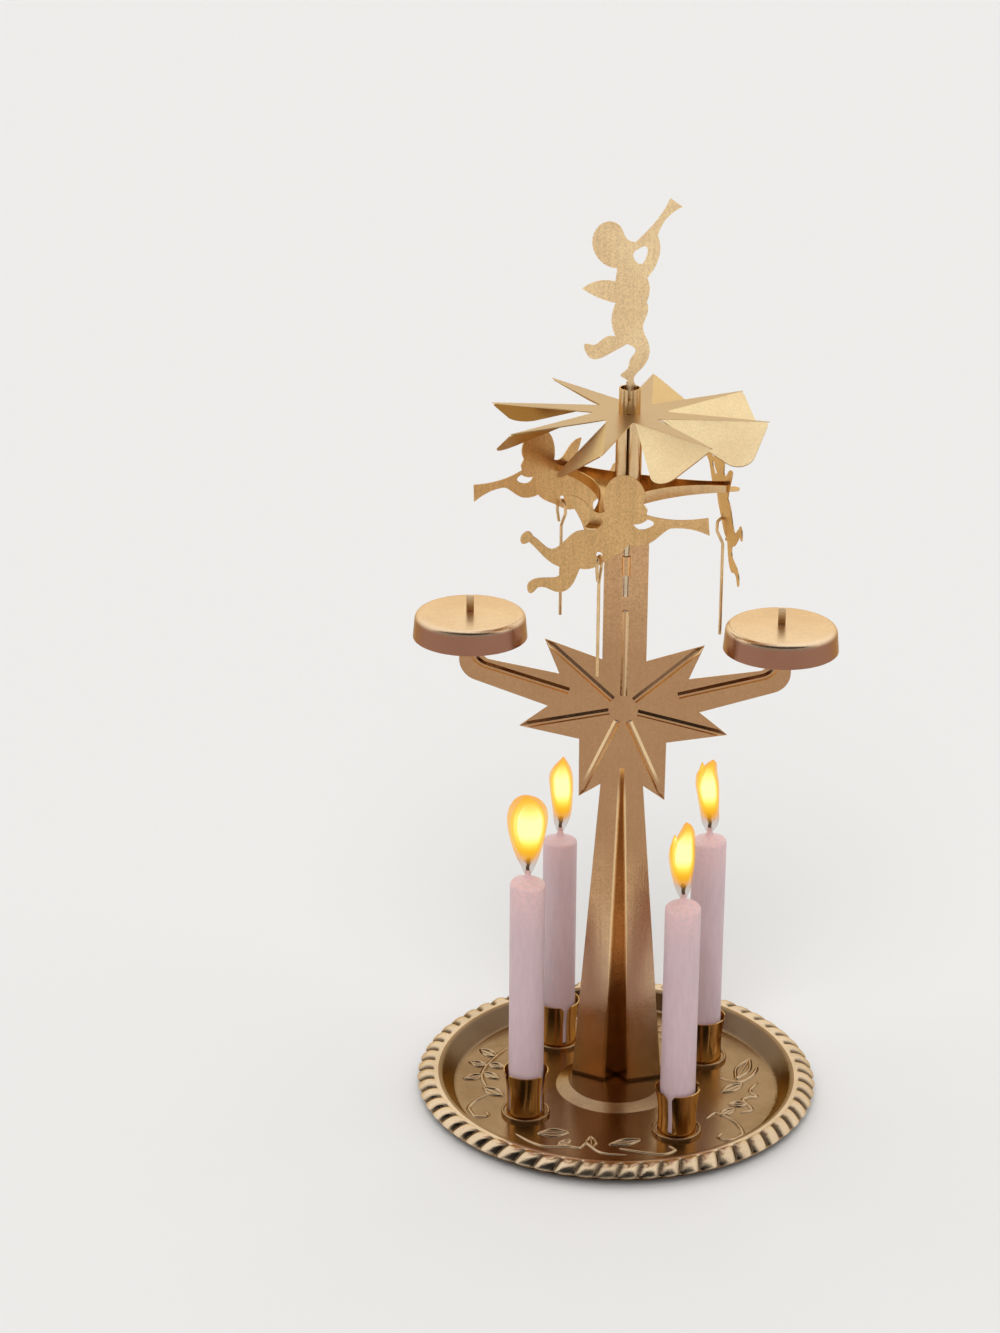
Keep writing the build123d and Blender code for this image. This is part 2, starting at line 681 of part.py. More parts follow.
for number, (azimuth, tilt) in enumerate(zip(arm_places, angel_tilts), start=1):
    outward, along = Vector(*polar(1, azimuth)), Vector(*polar(1, azimuth + 90))
    nose = along * cos(radians(tilt)) + Vector(0, 0, sin(radians(tilt)))
    upright = outward.cross(nose)
    tongue = outward * (arm_reach - leaf_sheet / 2) + Vector(0, 0, tongue_level)
    back = tongue + upright * angel_drop * angel_scale
    hole_spot = (striker_hole[0] * angel_scale, striker_hole[1] * angel_scale)
    with BuildPart() as flying_angel:
        with BuildSketch(Plane(back, nose, outward)):
            with BuildLine():
                curves(flying_outline, angel_scale)
            make_face()
            with BuildLine():
                curves(flying_arm_gap, angel_scale)
            make_face(mode=Mode.SUBTRACT)
            with Locations(Location((0, -angel_drop * angel_scale), -tilt)):
                Rectangle(
                    arm_tip_width - 2 * hub_sheet + slot_clearance,
                    hub_sheet + 2 * slot_clearance,
                    mode=Mode.SUBTRACT,
                )
            with Locations(hole_spot):
                Circle(striker_hole_diameter / 2, mode=Mode.SUBTRACT)
        extrude(amount=leaf_sheet)
    flying_angel.part.label = f"flying_angel_{number}"
    export_step(flying_angel.part, f"parts/flying_angel_{number}.step")

    # A striker is one wire: a straight drop and a loop round the angel's edge through its hole
    hole_middle = back + nose * hole_spot[0] + upright * hole_spot[1] + outward * leaf_sheet / 2
    hole = hole_middle - Vector(0, 0, striker_hole_diameter / 2 - striker_wire / 2 - slot_clearance)
    with BuildPart() as striker:
        half = loop_width / 2
        with BuildLine(Plane(hole, outward, along * -1)) as wire:
            drop = FilletPolyline(
                (0, -striker_length),
                (0, -loop_height),
                (-half, -loop_height / 2),
                (-half, -half),
                radius=loop_bend,
            )
            bend = ThreePointArc(drop @ 1, (0, 0), (half, -half))
            FilletPolyline(
                bend @ 1,
                (half, -loop_height / 2),
                (striker_wire + slot_clearance, -loop_height + striker_wire),
                radius=loop_bend,
            )
        with BuildSketch(Plane(wire.line @ 0, along, wire.line % 0)):
            Circle(striker_wire / 2)
        sweep(path=wire.line)
    striker.part.label = f"striker_{number}"
    export_step(striker.part, f"parts/striker_{number}.step")

# The angel on top, drawn from the tip of its standing foot
top_outline = [
    [(1.3, 0.8), (0.2, 4.0), (2.8, 7.4), (5.2, 12.4), (4.5, 17.0), (2.8, 21.4), (4.3, 26.8), (3.9, 30.4)],
    [(3.9, 30.4), (4.8, 35.0), (3.9, 38.8)],
    [(3.9, 38.8), (6.7, 43.1), (8.0, 48.6), (7.1, 53.2)],
    [(7.1, 53.2), (9.5, 58.6), (15.1, 63.3)],
    [(15.1, 63.3), (10.9, 66.1)],
    [(10.9, 66.1), (8.6, 61.4), (4.0, 55.3), (-0.2, 50.9)],
    [
        *[(-0.2, 50.9), (-3.9, 52.9), (-5.4, 56.0), (-9.2, 57.6)],
        *[(-13.4, 55.0), (-14.7, 49.8), (-12.2, 44.4), (-6.2, 41.8)],
    ],
    [(-6.2, 41.8), (-6.8, 37.2)],
    [(-6.8, 37.2), (-11.8, 37.3), (-17.9, 34.4)],
    [(-17.9, 34.4), (-13.0, 31.7), (-6.5, 29.8)],
    [(-6.5, 29.8), (-7.8, 24.6), (-6.3, 18.0)],
    [(-6.3, 18.0), (-11.0, 16.8), (-13.9, 14.9), (-16.6, 15.2), (-15.4, 10.9), (-8.2, 12.1), (-2.5, 15.7)],
    [(-2.5, 15.7), (0.4, 12.9), (-1.3, 10.2), (-2.4, 6.6), (-4.4, 4.7), (-2.4, 3.2), (-1.3, 0.8)],
    [(-1.3, 0.8), (1.3, 0.8)],
]
top_arm_gap = [[(1.0, 48.7), (3.6, 49.2), (3.4, 45.8), (1.6, 43.4), (0.0, 44.2), (1.0, 48.7)]]
with BuildPart() as top_angel:
    foot_level = hub_top - leaf_sheet
    foot_bottom = bearing_top - foot_slot_depth + seat_clearance
    with BuildSketch(Plane((top_angel_shift, leaf_sheet / 2, foot_level), (1, 0, 0), (0, -1, 0))):
        with BuildLine():
            curves(top_outline, top_angel_scale)
        make_face()
        with BuildLine():
            curves(top_arm_gap, top_angel_scale)
        make_face(mode=Mode.SUBTRACT)
        with Locations((-top_angel_shift, foot_bottom - foot_level)):
            Rectangle(foot_tab, foot_level - foot_bottom + foot_tab, align=(Align.CENTER, Align.MIN))
    extrude(amount=leaf_sheet)
top_angel.part.label = "top_angel"
export_step(top_angel.part, "parts/top_angel.step")
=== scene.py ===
# %% [markdown]
# # A brass angel chime carousel
# The real ornament is a tray of four candles under a fan. Warm air turns the fan, the fan carries flat brass
# angels round a needle, and their wire strikers ring two bells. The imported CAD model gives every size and
# place here; this lesson adds finer surfaces and finishes round it, one piece at a time.

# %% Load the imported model
import bmesh
import bpy
import numpy as np
from mathutils import Matrix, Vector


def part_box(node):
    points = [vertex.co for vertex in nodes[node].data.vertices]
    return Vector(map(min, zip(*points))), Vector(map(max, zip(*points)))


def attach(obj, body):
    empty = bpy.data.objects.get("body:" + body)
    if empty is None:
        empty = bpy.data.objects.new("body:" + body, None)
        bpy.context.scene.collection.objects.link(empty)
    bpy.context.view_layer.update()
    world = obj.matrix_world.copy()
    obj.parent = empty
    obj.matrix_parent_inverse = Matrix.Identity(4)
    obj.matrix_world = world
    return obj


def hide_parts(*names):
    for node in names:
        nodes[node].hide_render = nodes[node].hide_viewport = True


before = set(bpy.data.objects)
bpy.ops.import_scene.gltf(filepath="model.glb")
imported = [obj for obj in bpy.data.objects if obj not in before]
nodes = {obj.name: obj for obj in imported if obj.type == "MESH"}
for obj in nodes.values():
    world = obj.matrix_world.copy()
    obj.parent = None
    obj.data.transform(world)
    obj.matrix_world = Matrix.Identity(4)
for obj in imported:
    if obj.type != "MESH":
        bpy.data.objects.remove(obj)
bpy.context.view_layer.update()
MM = 0.001

# %% [markdown]
# ## Camera
# The view is the photograph's own: the lens, the place and the turn of the camera were worked out from the
# round tray, the upright candles and the stand. A camera looks along its own -Z, so its matrix holds the
# picture's right, up and backward directions as columns.

# %% Camera
CAMERA_PLACE = (0.061647, -1.020378, 0.575396)
CAMERA_RIGHT = (0.994483, 0.104791, 0.004820)
CAMERA_UP = (-0.043336, 0.368547, 0.928598)
CAMERA_BACK = (0.095532, -0.923684, 0.371055)
LENS_MM, SENSOR_MM = 84.50, 36

camera = bpy.data.objects.new("camera", bpy.data.cameras.new("camera"))
bpy.context.scene.collection.objects.link(camera)
camera.data.lens = LENS_MM
camera.data.sensor_width = SENSOR_MM
turn = Matrix((CAMERA_RIGHT, CAMERA_UP, CAMERA_BACK)).transposed()
camera.matrix_world = Matrix.Translation(CAMERA_PLACE) @ turn.to_4x4()
bpy.context.scene.camera = camera
print("camera at", CAMERA_PLACE, "with a lens of", LENS_MM, "mm")

# %% [markdown]
# ## Floor
# A plain pale sheet carries the object's shadow. Brass mirrors it, so the floor is also half of what the
# upright faces of the stand show.

# %% Floor
FLOOR_TONE, FLOOR_ROUGHNESS = (0.80, 0.795, 0.785, 1), 0.85
FLOOR_REACH, FLOOR_DROP = 8.0, 0.00005

floor_mesh = bpy.data.meshes.new("floor")
corners = np.array([(-1, -1), (1, -1), (1, 1), (-1, 1)]) * FLOOR_REACH
floor_mesh.from_pydata([(x, y, -FLOOR_DROP) for x, y in corners], [], [(0, 1, 2, 3)])
floor = bpy.data.objects.new("floor", floor_mesh)
bpy.context.scene.collection.objects.link(floor)
floor_finish = bpy.data.materials.new("floor_paper")
floor_finish.use_nodes = True
floor_shader = floor_finish.node_tree.nodes["Principled BSDF"]
floor_shader.inputs["Base Color"].default_value = FLOOR_TONE
floor_shader.inputs["Roughness"].default_value = FLOOR_ROUGHNESS
floor_mesh.materials.append(floor_finish)
print("floor", 2 * FLOOR_REACH, "m wide")

# %% [markdown]
# ## Studio light
# Metal shows what it mirrors more than what lights it. The room here is a plain soft one: a broad pale sweep
# from overhead down to the back, where it takes on the floor's tone, and in front a dim wall that goes dark
# higher up, which draws the dark line along every rounded shoulder. It is a smooth function of direction in
# the world shader. One broad lamp adds the soft shadow; it is hidden from mirror rays, so that no hard patch
# of it shows.

# %% Node helpers
# The places of a Mix node's colour sockets among its inputs and outputs
MIX_FACTOR, MIX_FIRST, MIX_SECOND, MIX_RESULT = 0, 6, 7, 2


def add_node(tree, kind, settings=None, **values):
    """A new node with its settings and the start values of its input sockets."""
    made = tree.nodes.new(kind)
    for key, value in (settings or {}).items():
        setattr(made, key, value)
    for key, value in values.items():
        made.inputs[key.replace("_", " ")].default_value = value
    return made


def feed(tree, given, socket):
    """Links a socket to another one, or sets it to a number or a colour."""
    if isinstance(given, bpy.types.NodeSocket):
        tree.links.new(given, socket)
    else:
        socket.default_value = given


def ramp(tree, source, low, high):
    """A value that goes smoothly from 0 to 1 while the source goes from low to high."""
    smooth = {"interpolation_type": "SMOOTHSTEP"}
    made = add_node(tree, "ShaderNodeMapRange", smooth, From_Min=low, From_Max=high)
    tree.links.new(source, made.inputs["Value"])
    return made.outputs["Result"]


def mix_colours(tree, factor, first, second):
    """A colour between two; each may be a socket or a value."""
    made = add_node(tree, "ShaderNodeMix", {"data_type": "RGBA"})
    for number, given in ((MIX_FACTOR, factor), (MIX_FIRST, first), (MIX_SECOND, second)):
        feed(tree, given, made.inputs[number])
    return made.outputs[MIX_RESULT]


print("mixed colours leave socket", MIX_RESULT)

# %% World and lamp
ROOM_SWEEP = (1.0, 0.99, 0.975, 1)
ROOM_EDGE = (0.82, 0.81, 0.80, 1)
ROOM_FRONT_LOW = (0.49, 0.49, 0.495, 1)
ROOM_FRONT_HIGH = (0.03, 0.03, 0.035, 1)
# Where a direction's Z or Y changes the room: up the front wall, up from the horizon, from front to back
FRONT_CHANGE, HORIZON_CHANGE, BACK_CHANGE = (0.40, 0.64), (0.02, 0.3), (-0.36, -0.18)
LAMP_TURN = (np.radians(38), np.radians(-14), np.radians(18))
LAMP_STRENGTH = 1.4
LAMP_SPREAD = np.radians(35)

world = bpy.data.worlds.new("studio")
bpy.context.scene.world = world
world.use_nodes = True
room = world.node_tree
direction = add_node(room, "ShaderNodeSeparateXYZ")
room.links.new(add_node(room, "ShaderNodeTexCoord").outputs["Generated"], direction.inputs[0])
_, backward, upward = direction.outputs
front = mix_colours(room, ramp(room, upward, *FRONT_CHANGE), ROOM_FRONT_LOW, ROOM_FRONT_HIGH)
sweep = mix_colours(room, ramp(room, upward, *HORIZON_CHANGE), ROOM_EDGE, ROOM_SWEEP)
dome = mix_colours(room, ramp(room, backward, *BACK_CHANGE), front, sweep)
room.links.new(dome, room.nodes["Background"].inputs["Color"])

lamp_data = bpy.data.lights.new("soft_lamp", "SUN")
lamp_data.energy, lamp_data.angle = LAMP_STRENGTH, LAMP_SPREAD
lamp = bpy.data.objects.new("soft_lamp", lamp_data)
bpy.context.scene.collection.objects.link(lamp)
lamp.rotation_euler = LAMP_TURN
lamp.visible_glossy = False
bpy.context.scene.view_settings.view_transform = "Standard"
print("room from", ROOM_FRONT_HIGH[0], "high in front to", ROOM_SWEEP[0], "overhead and behind")

# %% [markdown]
# ## Brass that has been handled
# Stamped brass is never one colour. It has clouds of thin tarnish, a fine speckle from the rolled sheet,
# faint lines along the rolling direction and shallow dents. All the brass pieces share these, so they are one
# node group: four noises on the object's own coordinates, each at its own size in the metal.

# %% Sockets of the worn brass
worn = bpy.data.node_groups.new("worn_brass", "ShaderNodeTree")
for label, kind, value in (
    ("Bright", "NodeSocketColor", (0.8, 0.6, 0.3, 1)),
    ("Dull", "NodeSocketColor", (0.5, 0.35, 0.18, 1)),
    ("Cloud Scale", "NodeSocketFloat", 45.0),
    ("Cloud Amount", "NodeSocketFloat", 0.5),
    ("Speckle Scale", "NodeSocketFloat", 1500.0),
    ("Speckle Amount", "NodeSocketFloat", 0.2),
    ("Line Amount", "NodeSocketFloat", 0.1),
    ("Dent Amount", "NodeSocketFloat", 0.0),
    ("Smooth Roughness", "NodeSocketFloat", 0.3),
    ("Roughness Spread", "NodeSocketFloat", 0.1),
):
    worn.interface.new_socket(label, in_out="INPUT", socket_type=kind).default_value = value
for label, kind in (
    ("Colour", "NodeSocketColor"),
    ("Roughness", "NodeSocketFloat"),
    ("Height", "NodeSocketFloat"),
):
    worn.interface.new_socket(label, in_out="OUTPUT", socket_type=kind)
print("worn brass sockets:", len(worn.interface.items_tree))

# %% Noises of the worn brass
CLOUD_EDGES, FINE_EDGES = (0.36, 0.66), (0.3, 0.7)
LINE_STRETCH = (900, 900, 18)
DENT_SCALE = 70.0
SPECKLE_BUMP, LINE_BUMP = 0.7, 0.3
NOISE_MIDDLE = 0.5

given = worn.nodes.new("NodeGroupInput").outputs
place = add_node(worn, "ShaderNodeTexCoord").outputs["Object"]


def noise(tree, coordinates, scale, detail, rough=0.55):
    """Noise from 0 to 1 about the middle value, with a number or a socket for its scale."""
    made = add_node(tree, "ShaderNodeTexNoise", Detail=detail, Roughness=rough)
    tree.links.new(coordinates, made.inputs["Vector"])
    feed(tree, scale, made.inputs["Scale"])
    return made.outputs["Fac"]


def math(tree, operation, *values):
    """A Math node on numbers or sockets."""
    made = add_node(tree, "ShaderNodeMath", {"operation": operation})
    for value, socket in zip(values, made.inputs):
        feed(tree, value, socket)
    return made.outputs[0]


clouds = ramp(worn, noise(worn, place, given["Cloud Scale"], detail=5.0), *CLOUD_EDGES)
speckle = ramp(worn, noise(worn, place, given["Speckle Scale"], detail=3.0, rough=0.7), *FINE_EDGES)
stretch = add_node(worn, "ShaderNodeMapping", Scale=LINE_STRETCH)
worn.links.new(place, stretch.inputs["Vector"])
lines = ramp(worn, noise(worn, stretch.outputs[0], 1.0, detail=3.0), *FINE_EDGES)
tarnish = math(worn, "MULTIPLY", clouds, given["Cloud Amount"])
tint = mix_colours(worn, tarnish, given["Bright"], given["Dull"])
fleck = math(worn, "SUBTRACT", speckle, NOISE_MIDDLE)
stripe = math(worn, "SUBTRACT", lines, NOISE_MIDDLE)
shade = math(worn, "MULTIPLY_ADD", fleck, given["Speckle Amount"], 1.0)
shade = math(worn, "MULTIPLY_ADD", stripe, given["Line Amount"], shade)
shaded = add_node(worn, "ShaderNodeVectorMath", {"operation": "SCALE"})
worn.links.new(tint, shaded.inputs[0])
worn.links.new(shade, shaded.inputs["Scale"])
patches = math(worn, "MULTIPLY_ADD", clouds, given["Roughness Spread"], given["Smooth Roughness"])
dents = math(worn, "MULTIPLY", noise(worn, place, DENT_SCALE, detail=1.0), given["Dent Amount"])
grain = math(worn, "MULTIPLY_ADD", speckle, SPECKLE_BUMP, math(worn, "MULTIPLY", lines, LINE_BUMP))
relief = math(worn, "ADD", grain, dents)
handed = worn.nodes.new("NodeGroupOutput").inputs
worn.links.new(shaded.outputs[0], handed["Colour"])
worn.links.new(patches, handed["Roughness"])
worn.links.new(relief, handed["Height"])
print("worn brass group:", len(worn.nodes), "nodes")

# %% [markdown]
# ## A brass finish
# The tray, the cups, the stand and the bells are polished, and the fan and the angels have a soft, matt
# sheen. Each finish places the shared group in a metal with its own numbers. A finish keeps its roughness on
# one side of about 0.275, because a render cleaned of noise shows a faint seam where a metal crosses that
# value.

# %% A brass finish
BRASS_EDGE = (0.88, 0.68, 0.42, 1)


def brass(
    name, bright, dull, roughness, spread,
    clouds=45.0, cloud=0.5, speckle=0.2, lines=0.1, dents=4.0, bump=0.02,
):
    """A metal with the worn group: two colours, shares of cloud, speckle, lines and dents, a bump in mm."""
    made = bpy.data.materials.new(name)
    made.use_nodes = True
    tree = made.node_tree
    shader = tree.nodes["Principled BSDF"]
    shader.inputs["Metallic"].default_value = 1.0
    shader.inputs["Specular Tint"].default_value = BRASS_EDGE
    group = tree.nodes.new("ShaderNodeGroup")
    group.node_tree = worn
    for label, value in (
        ("Bright", (*bright, 1)),
        ("Dull", (*dull, 1)),
        ("Cloud Scale", clouds),
        ("Cloud Amount", cloud),
        ("Speckle Amount", speckle),
        ("Line Amount", lines),
        ("Dent Amount", dents),
        ("Smooth Roughness", roughness),
        ("Roughness Spread", spread),
    ):
        group.inputs[label].default_value = value
    tree.links.new(group.outputs["Colour"], shader.inputs["Base Color"])
    tree.links.new(group.outputs["Roughness"], shader.inputs["Roughness"])
    bumps = add_node(tree, "ShaderNodeBump", Strength=1.0, Distance=bump * MM)
    tree.links.new(group.outputs["Height"], bumps.inputs["Height"])
    tree.links.new(bumps.outputs["Normal"], shader.inputs["Normal"])
    return made


print("brass turns to", BRASS_EDGE[:3], "at grazing angles")

# %% [markdown]
# ## Painted light and shade
# Light and shade are painted into the brass from place to place: painted highlights on the leg's folds and on
# the star's downward edges, painted reflections on the leg's flats, the pins' tips and the fan's level parts,
# and painted shade on the tray's wall, the hollows, the rib tops, the leg's foot, the bells' skirts and the
# fan's undersides. The star and the leg's head are also tinted a darker brown. Each such place is a mask, a
# function that adds nodes whose value is 1 there and 0 elsewhere. It reads where a point lies, which way the
# surface looks, or a value stored with the points, so it stays with the piece when the piece moves. A finish
# then mixes in a second colour, or roughness, by the mask.

# %% Tint, haze and the two ways to find a place
def tinted(finish, where, colour, amount):
    """Mixes a second colour into a finish, as much as a mask over the surface says."""
    tree = finish.node_tree
    socket = tree.nodes["Principled BSDF"].inputs["Base Color"]
    coat = math(tree, "MULTIPLY", where(tree), amount)
    tree.links.new(mix_colours(tree, coat, socket.links[0].from_socket, (*colour, 1)), socket)


def hazed(finish, where, amount):
    """Adds roughness to a finish, as much as a mask over the surface says."""
    tree = finish.node_tree
    socket = tree.nodes["Principled BSDF"].inputs["Roughness"]
    tree.links.new(math(tree, "MULTIPLY_ADD", where(tree), amount, socket.links[0].from_socket), socket)


def axes_of(tree, kind):
    """The parts of a texture coordinate as sockets: of a point for Object, of the surface for Normal."""
    split = add_node(tree, "ShaderNodeSeparateXYZ")
    tree.links.new(add_node(tree, "ShaderNodeTexCoord").outputs[kind], split.inputs[0])
    return split.outputs


def point_at(tree):
    """Where a point lies, in metres."""
    return axes_of(tree, "Object")


def facing(tree):
    """Which way the surface looks."""
    return axes_of(tree, "Normal")


# %% Masks of the tray and the bells
# Ramps over the distance from the middle, over y and over z, in metres
WALL_INNER, WALL_OUTER, WALL_FRONT_FADE = (0.0585, 0.0605), (0.0656, 0.0640), (-0.050, -0.030)
SKIRT_TOP = (0.1852, 0.1832)


def tray_wall_shade(tree):
    """1 on the tray's wall, where shade is painted, 0 on the floor, the rim and the front of the wall."""
    x, y, _ = point_at(tree)
    reach = math(tree, "SQRT", math(tree, "MULTIPLY_ADD", x, x, math(tree, "MULTIPLY", y, y)))
    ring = math(tree, "MULTIPLY", ramp(tree, reach, *WALL_INNER), ramp(tree, reach, *WALL_OUTER))
    return math(tree, "MULTIPLY", ring, ramp(tree, y, *WALL_FRONT_FADE))


def painted_gap_shade(tree):
    """The share of painted shade in the hollows of a raised pattern, stored with its points."""
    return add_node(tree, "ShaderNodeAttribute", {"attribute_name": "hollow"}).outputs["Fac"]


def bell_skirt_shade(tree):
    """1 on the side of a bell, where shade is painted, 0 on its top."""
    return ramp(tree, point_at(tree)["Z"], *SKIRT_TOP)


print("tray wall from", WALL_INNER[0] / MM, "to", WALL_OUTER[0] / MM, "mm")
print("bell skirts up to", SKIRT_TOP[0] / MM, "mm")

# %% Masks of the leg
# The groove's half width and height at the leg's foot and head, then ramps over distances and heights,
# in metres
LEG_FOOT, LEG_HEAD = (0.0044, 0.0026), (0.0009, 0.1222)
FOLD_WIDTH, FOLD_END = (0.00075, 0.0002), (LEG_HEAD[1] + 0.004, LEG_HEAD[1] - 0.008)
FLAT_EDGE, FLAT_FADE, FOOT_SHADOW_HEIGHTS = (0.0, 0.001), (0.085, 0.020), (0.0042, 0.0032)


def beside_groove(tree):
    """How far a point of the leg lies outside the fold beside its groove, a straight line up the leg."""
    x, _, z = point_at(tree)
    (foot_x, foot_z), (head_x, head_z) = LEG_FOOT, LEG_HEAD
    ends = {"From_Min": foot_z, "From_Max": head_z, "To_Min": foot_x, "To_Max": head_x}
    line = add_node(tree, "ShaderNodeMapRange", **ends)
    tree.links.new(z, line.inputs["Value"])
    return math(tree, "SUBTRACT", math(tree, "ABSOLUTE", x), line.outputs["Result"])


def leg_fold_highlights(tree):
    """1 along the two folds beside the leg's groove, where a highlight is painted, ending at the leg's head.
    """
    apart = math(tree, "ABSOLUTE", beside_groove(tree))
    return math(tree, "MULTIPLY", ramp(tree, apart, *FOLD_WIDTH), ramp(tree, point_at(tree)["Z"], *FOLD_END))


def leg_flats_reflection_and_haze(tree):
    """1 on the flats at the foot of the leg, where a pale reflection is painted and the roughness raised,
    fading out half way up it.
    """
    outside = ramp(tree, beside_groove(tree), *FLAT_EDGE)
    return math(tree, "MULTIPLY", outside, ramp(tree, point_at(tree)["Z"], *FLAT_FADE))


def foot_shadow(tree):
    """1 along the leg's lowest edge, where a contact shadow against the tray is painted."""
    return ramp(tree, point_at(tree)["Z"], *FOOT_SHADOW_HEIGHTS)


print("leg groove", 2 * LEG_FOOT[0] / MM, "mm wide at the foot and", 2 * LEG_HEAD[0] / MM, "mm at the head")

# %% Masks of the star, the arms and the fan
# Ramps over the parts of the surface's direction, then over heights and distances in metres
TURNED_AWAY, LOOKS_DOWN = (0.92, 0.75), (0.46, 0.36)
SLANT_LEAST, SLANT_MOST, LOOKS_UP = (0.50, 0.62), (0.92, 0.80), (0.36, 0.48)
FACES_DOWN, LEVEL = (0.05, -0.15), (0.95, 0.99)
STAR_FOOT = (0.122, 0.130)
DARK_BAND_TOP, DARK_BAND_FOOT = (0.200, 0.168), (0.070, 0.105)
PIN_OUT, PIN_RISE = (0.048, 0.050), (0.1868, 0.1905)


def above_leg(tree, mask):
    """A mask of the stand kept to the star, the arms and the post."""
    return math(tree, "MULTIPLY", mask, ramp(tree, point_at(tree)["Z"], *STAR_FOOT))


def flame_glint_edges(tree):
    """1 on flanks of the ribs and on cut edges that look to the side or down, where a bright glint of the
    flames is painted.
    """
    _, forward, upward = facing(tree)
    turned_away = ramp(tree, math(tree, "ABSOLUTE", forward), *TURNED_AWAY)
    return above_leg(tree, math(tree, "MULTIPLY", turned_away, ramp(tree, upward, *LOOKS_DOWN)))


def rib_top_shade(tree):
    """1 on the upper flanks of the star's ribs, where a dark reflection of the ceiling is painted."""
    _, forward, upward = facing(tree)
    slant = math(tree, "ABSOLUTE", forward)
    flank = math(tree, "MULTIPLY", ramp(tree, slant, *SLANT_LEAST), ramp(tree, slant, *SLANT_MOST))
    return above_leg(tree, math(tree, "MULTIPLY", flank, ramp(tree, upward, *LOOKS_UP)))


def darker_band(tree):
    """1 on the star and the head of the leg, which are tinted a darker brown, fading above and below."""
    z = point_at(tree)["Z"]
    return math(tree, "MULTIPLY", ramp(tree, z, *DARK_BAND_TOP), ramp(tree, z, *DARK_BAND_FOOT))


def pin_tip_reflection(tree):
    """1 at the tips of the two pins that stand through the bells, where a pale reflection of the bell tops is
    painted.
    """
    x, _, z = point_at(tree)
    outside = ramp(tree, math(tree, "ABSOLUTE", x), *PIN_OUT)
    return math(tree, "MULTIPLY", outside, ramp(tree, z, *PIN_RISE))


def underside_shade(tree):
    """1 on faces that look down, where shade is painted, 0 on those that look up."""
    return ramp(tree, facing(tree)["Z"], *FACES_DOWN)


def level_part_reflection(tree):
    """1 on the fan's level middle and spokes, where a duller reflection of the ceiling is painted, 0 on its
    tilted blades.
    """
    return ramp(tree, facing(tree)["Z"], *LEVEL)


# The band tinted a darker brown runs between these heights, in mm.
print("browned by heat from", DARK_BAND_FOOT[0] / MM, "to", DARK_BAND_TOP[0] / MM, "mm")

# %% Finishes of the tray and the cups
GAP_SHADE, GAP_SHADE_AMOUNT = (0.075, 0.045, 0.026), 0.9
TRIM = {"speckle": 0.16, "lines": 0.0, "dents": 0.0}

# The tray, its rim and its raised pattern are one brass: the floor's finish is painted darker and the rim's
# and the pattern's lighter, as shaded and lit copies of it.
tray_brass = brass(
    "tray_brass", (0.37, 0.245, 0.14), (0.27, 0.165, 0.09), 0.13, 0.10, cloud=0.7, lines=0.0, dents=9.0
)
# Painted shade darkens the tray's wall, leaving out its front.
tinted(tray_brass, tray_wall_shade, (0.15, 0.098, 0.06), 0.85)
rim_brass_lit = brass("rim_brass_lit", (0.80, 0.62, 0.42), (0.58, 0.43, 0.27), 0.14, 0.10, **TRIM)
relief_brass_lit = brass("relief_brass_lit", (0.60, 0.43, 0.26), (0.42, 0.29, 0.165), 0.14, 0.10, **TRIM)
# Painted shade fills the gaps between the lobes and the feet of the raised lines.
for finish in (rim_brass_lit, relief_brass_lit):
    tinted(finish, painted_gap_shade, GAP_SHADE, GAP_SHADE_AMOUNT)
cup_brass = brass(
    "cup_brass", (0.74, 0.48, 0.20), (0.50, 0.29, 0.10), 0.08, 0.07, cloud=0.7, speckle=0.1, bump=0.01
)
print("tray finish:", len(tray_brass.node_tree.nodes), "nodes")

# %% Finish of the stand
LEG_FLAT_HAZE = 0.08
# Marks on the stand: a darker brown band on the star and the leg's head, a pale painted reflection on the
# leg's flats and the pin tips, painted highlights on the folds and the downward edges, and painted shade on
# the rib tops and along the leg's foot.
STAND_MARKS = (
    (darker_band, (0.40, 0.215, 0.105), 0.7),
    (leg_flats_reflection_and_haze, (1.0, 0.76, 0.50), 0.85),
    (pin_tip_reflection, (1.0, 0.82, 0.60), 0.9),
    (leg_fold_highlights, (0.95, 0.70, 0.40), 0.75),
    (flame_glint_edges, (1.0, 0.74, 0.42), 0.85),
    (rib_top_shade, (0.16, 0.085, 0.05), 0.65),
    (foot_shadow, (0.10, 0.055, 0.03), 0.85),
)

stand_brass = brass("stand_brass", (0.62, 0.375, 0.19), (0.50, 0.285, 0.14), 0.12, 0.07, speckle=0.36)
for where, colour, amount in STAND_MARKS:
    tinted(stand_brass, where, colour, amount)
hazed(stand_brass, leg_flats_reflection_and_haze, LEG_FLAT_HAZE)
print("stand finish:", len(STAND_MARKS), "marks,", len(stand_brass.node_tree.nodes), "nodes")

# %% Finishes of the rotor, the bells and the wires
WIRE_CLOUDS = 120.0

rotor_brass = brass(
    "rotor_brass", (0.76, 0.53, 0.29), (0.54, 0.34, 0.16), 0.13, 0.10, speckle=0.14, bump=0.01
)
fan_brass = brass("fan_brass", (0.93, 0.74, 0.43), (0.84, 0.62, 0.35), 0.28, 0.06, speckle=0.14, lines=0.05)
# Painted shade darkens the fan's downward faces.
tinted(fan_brass, underside_shade, (0.38, 0.185, 0.065), 1.0)
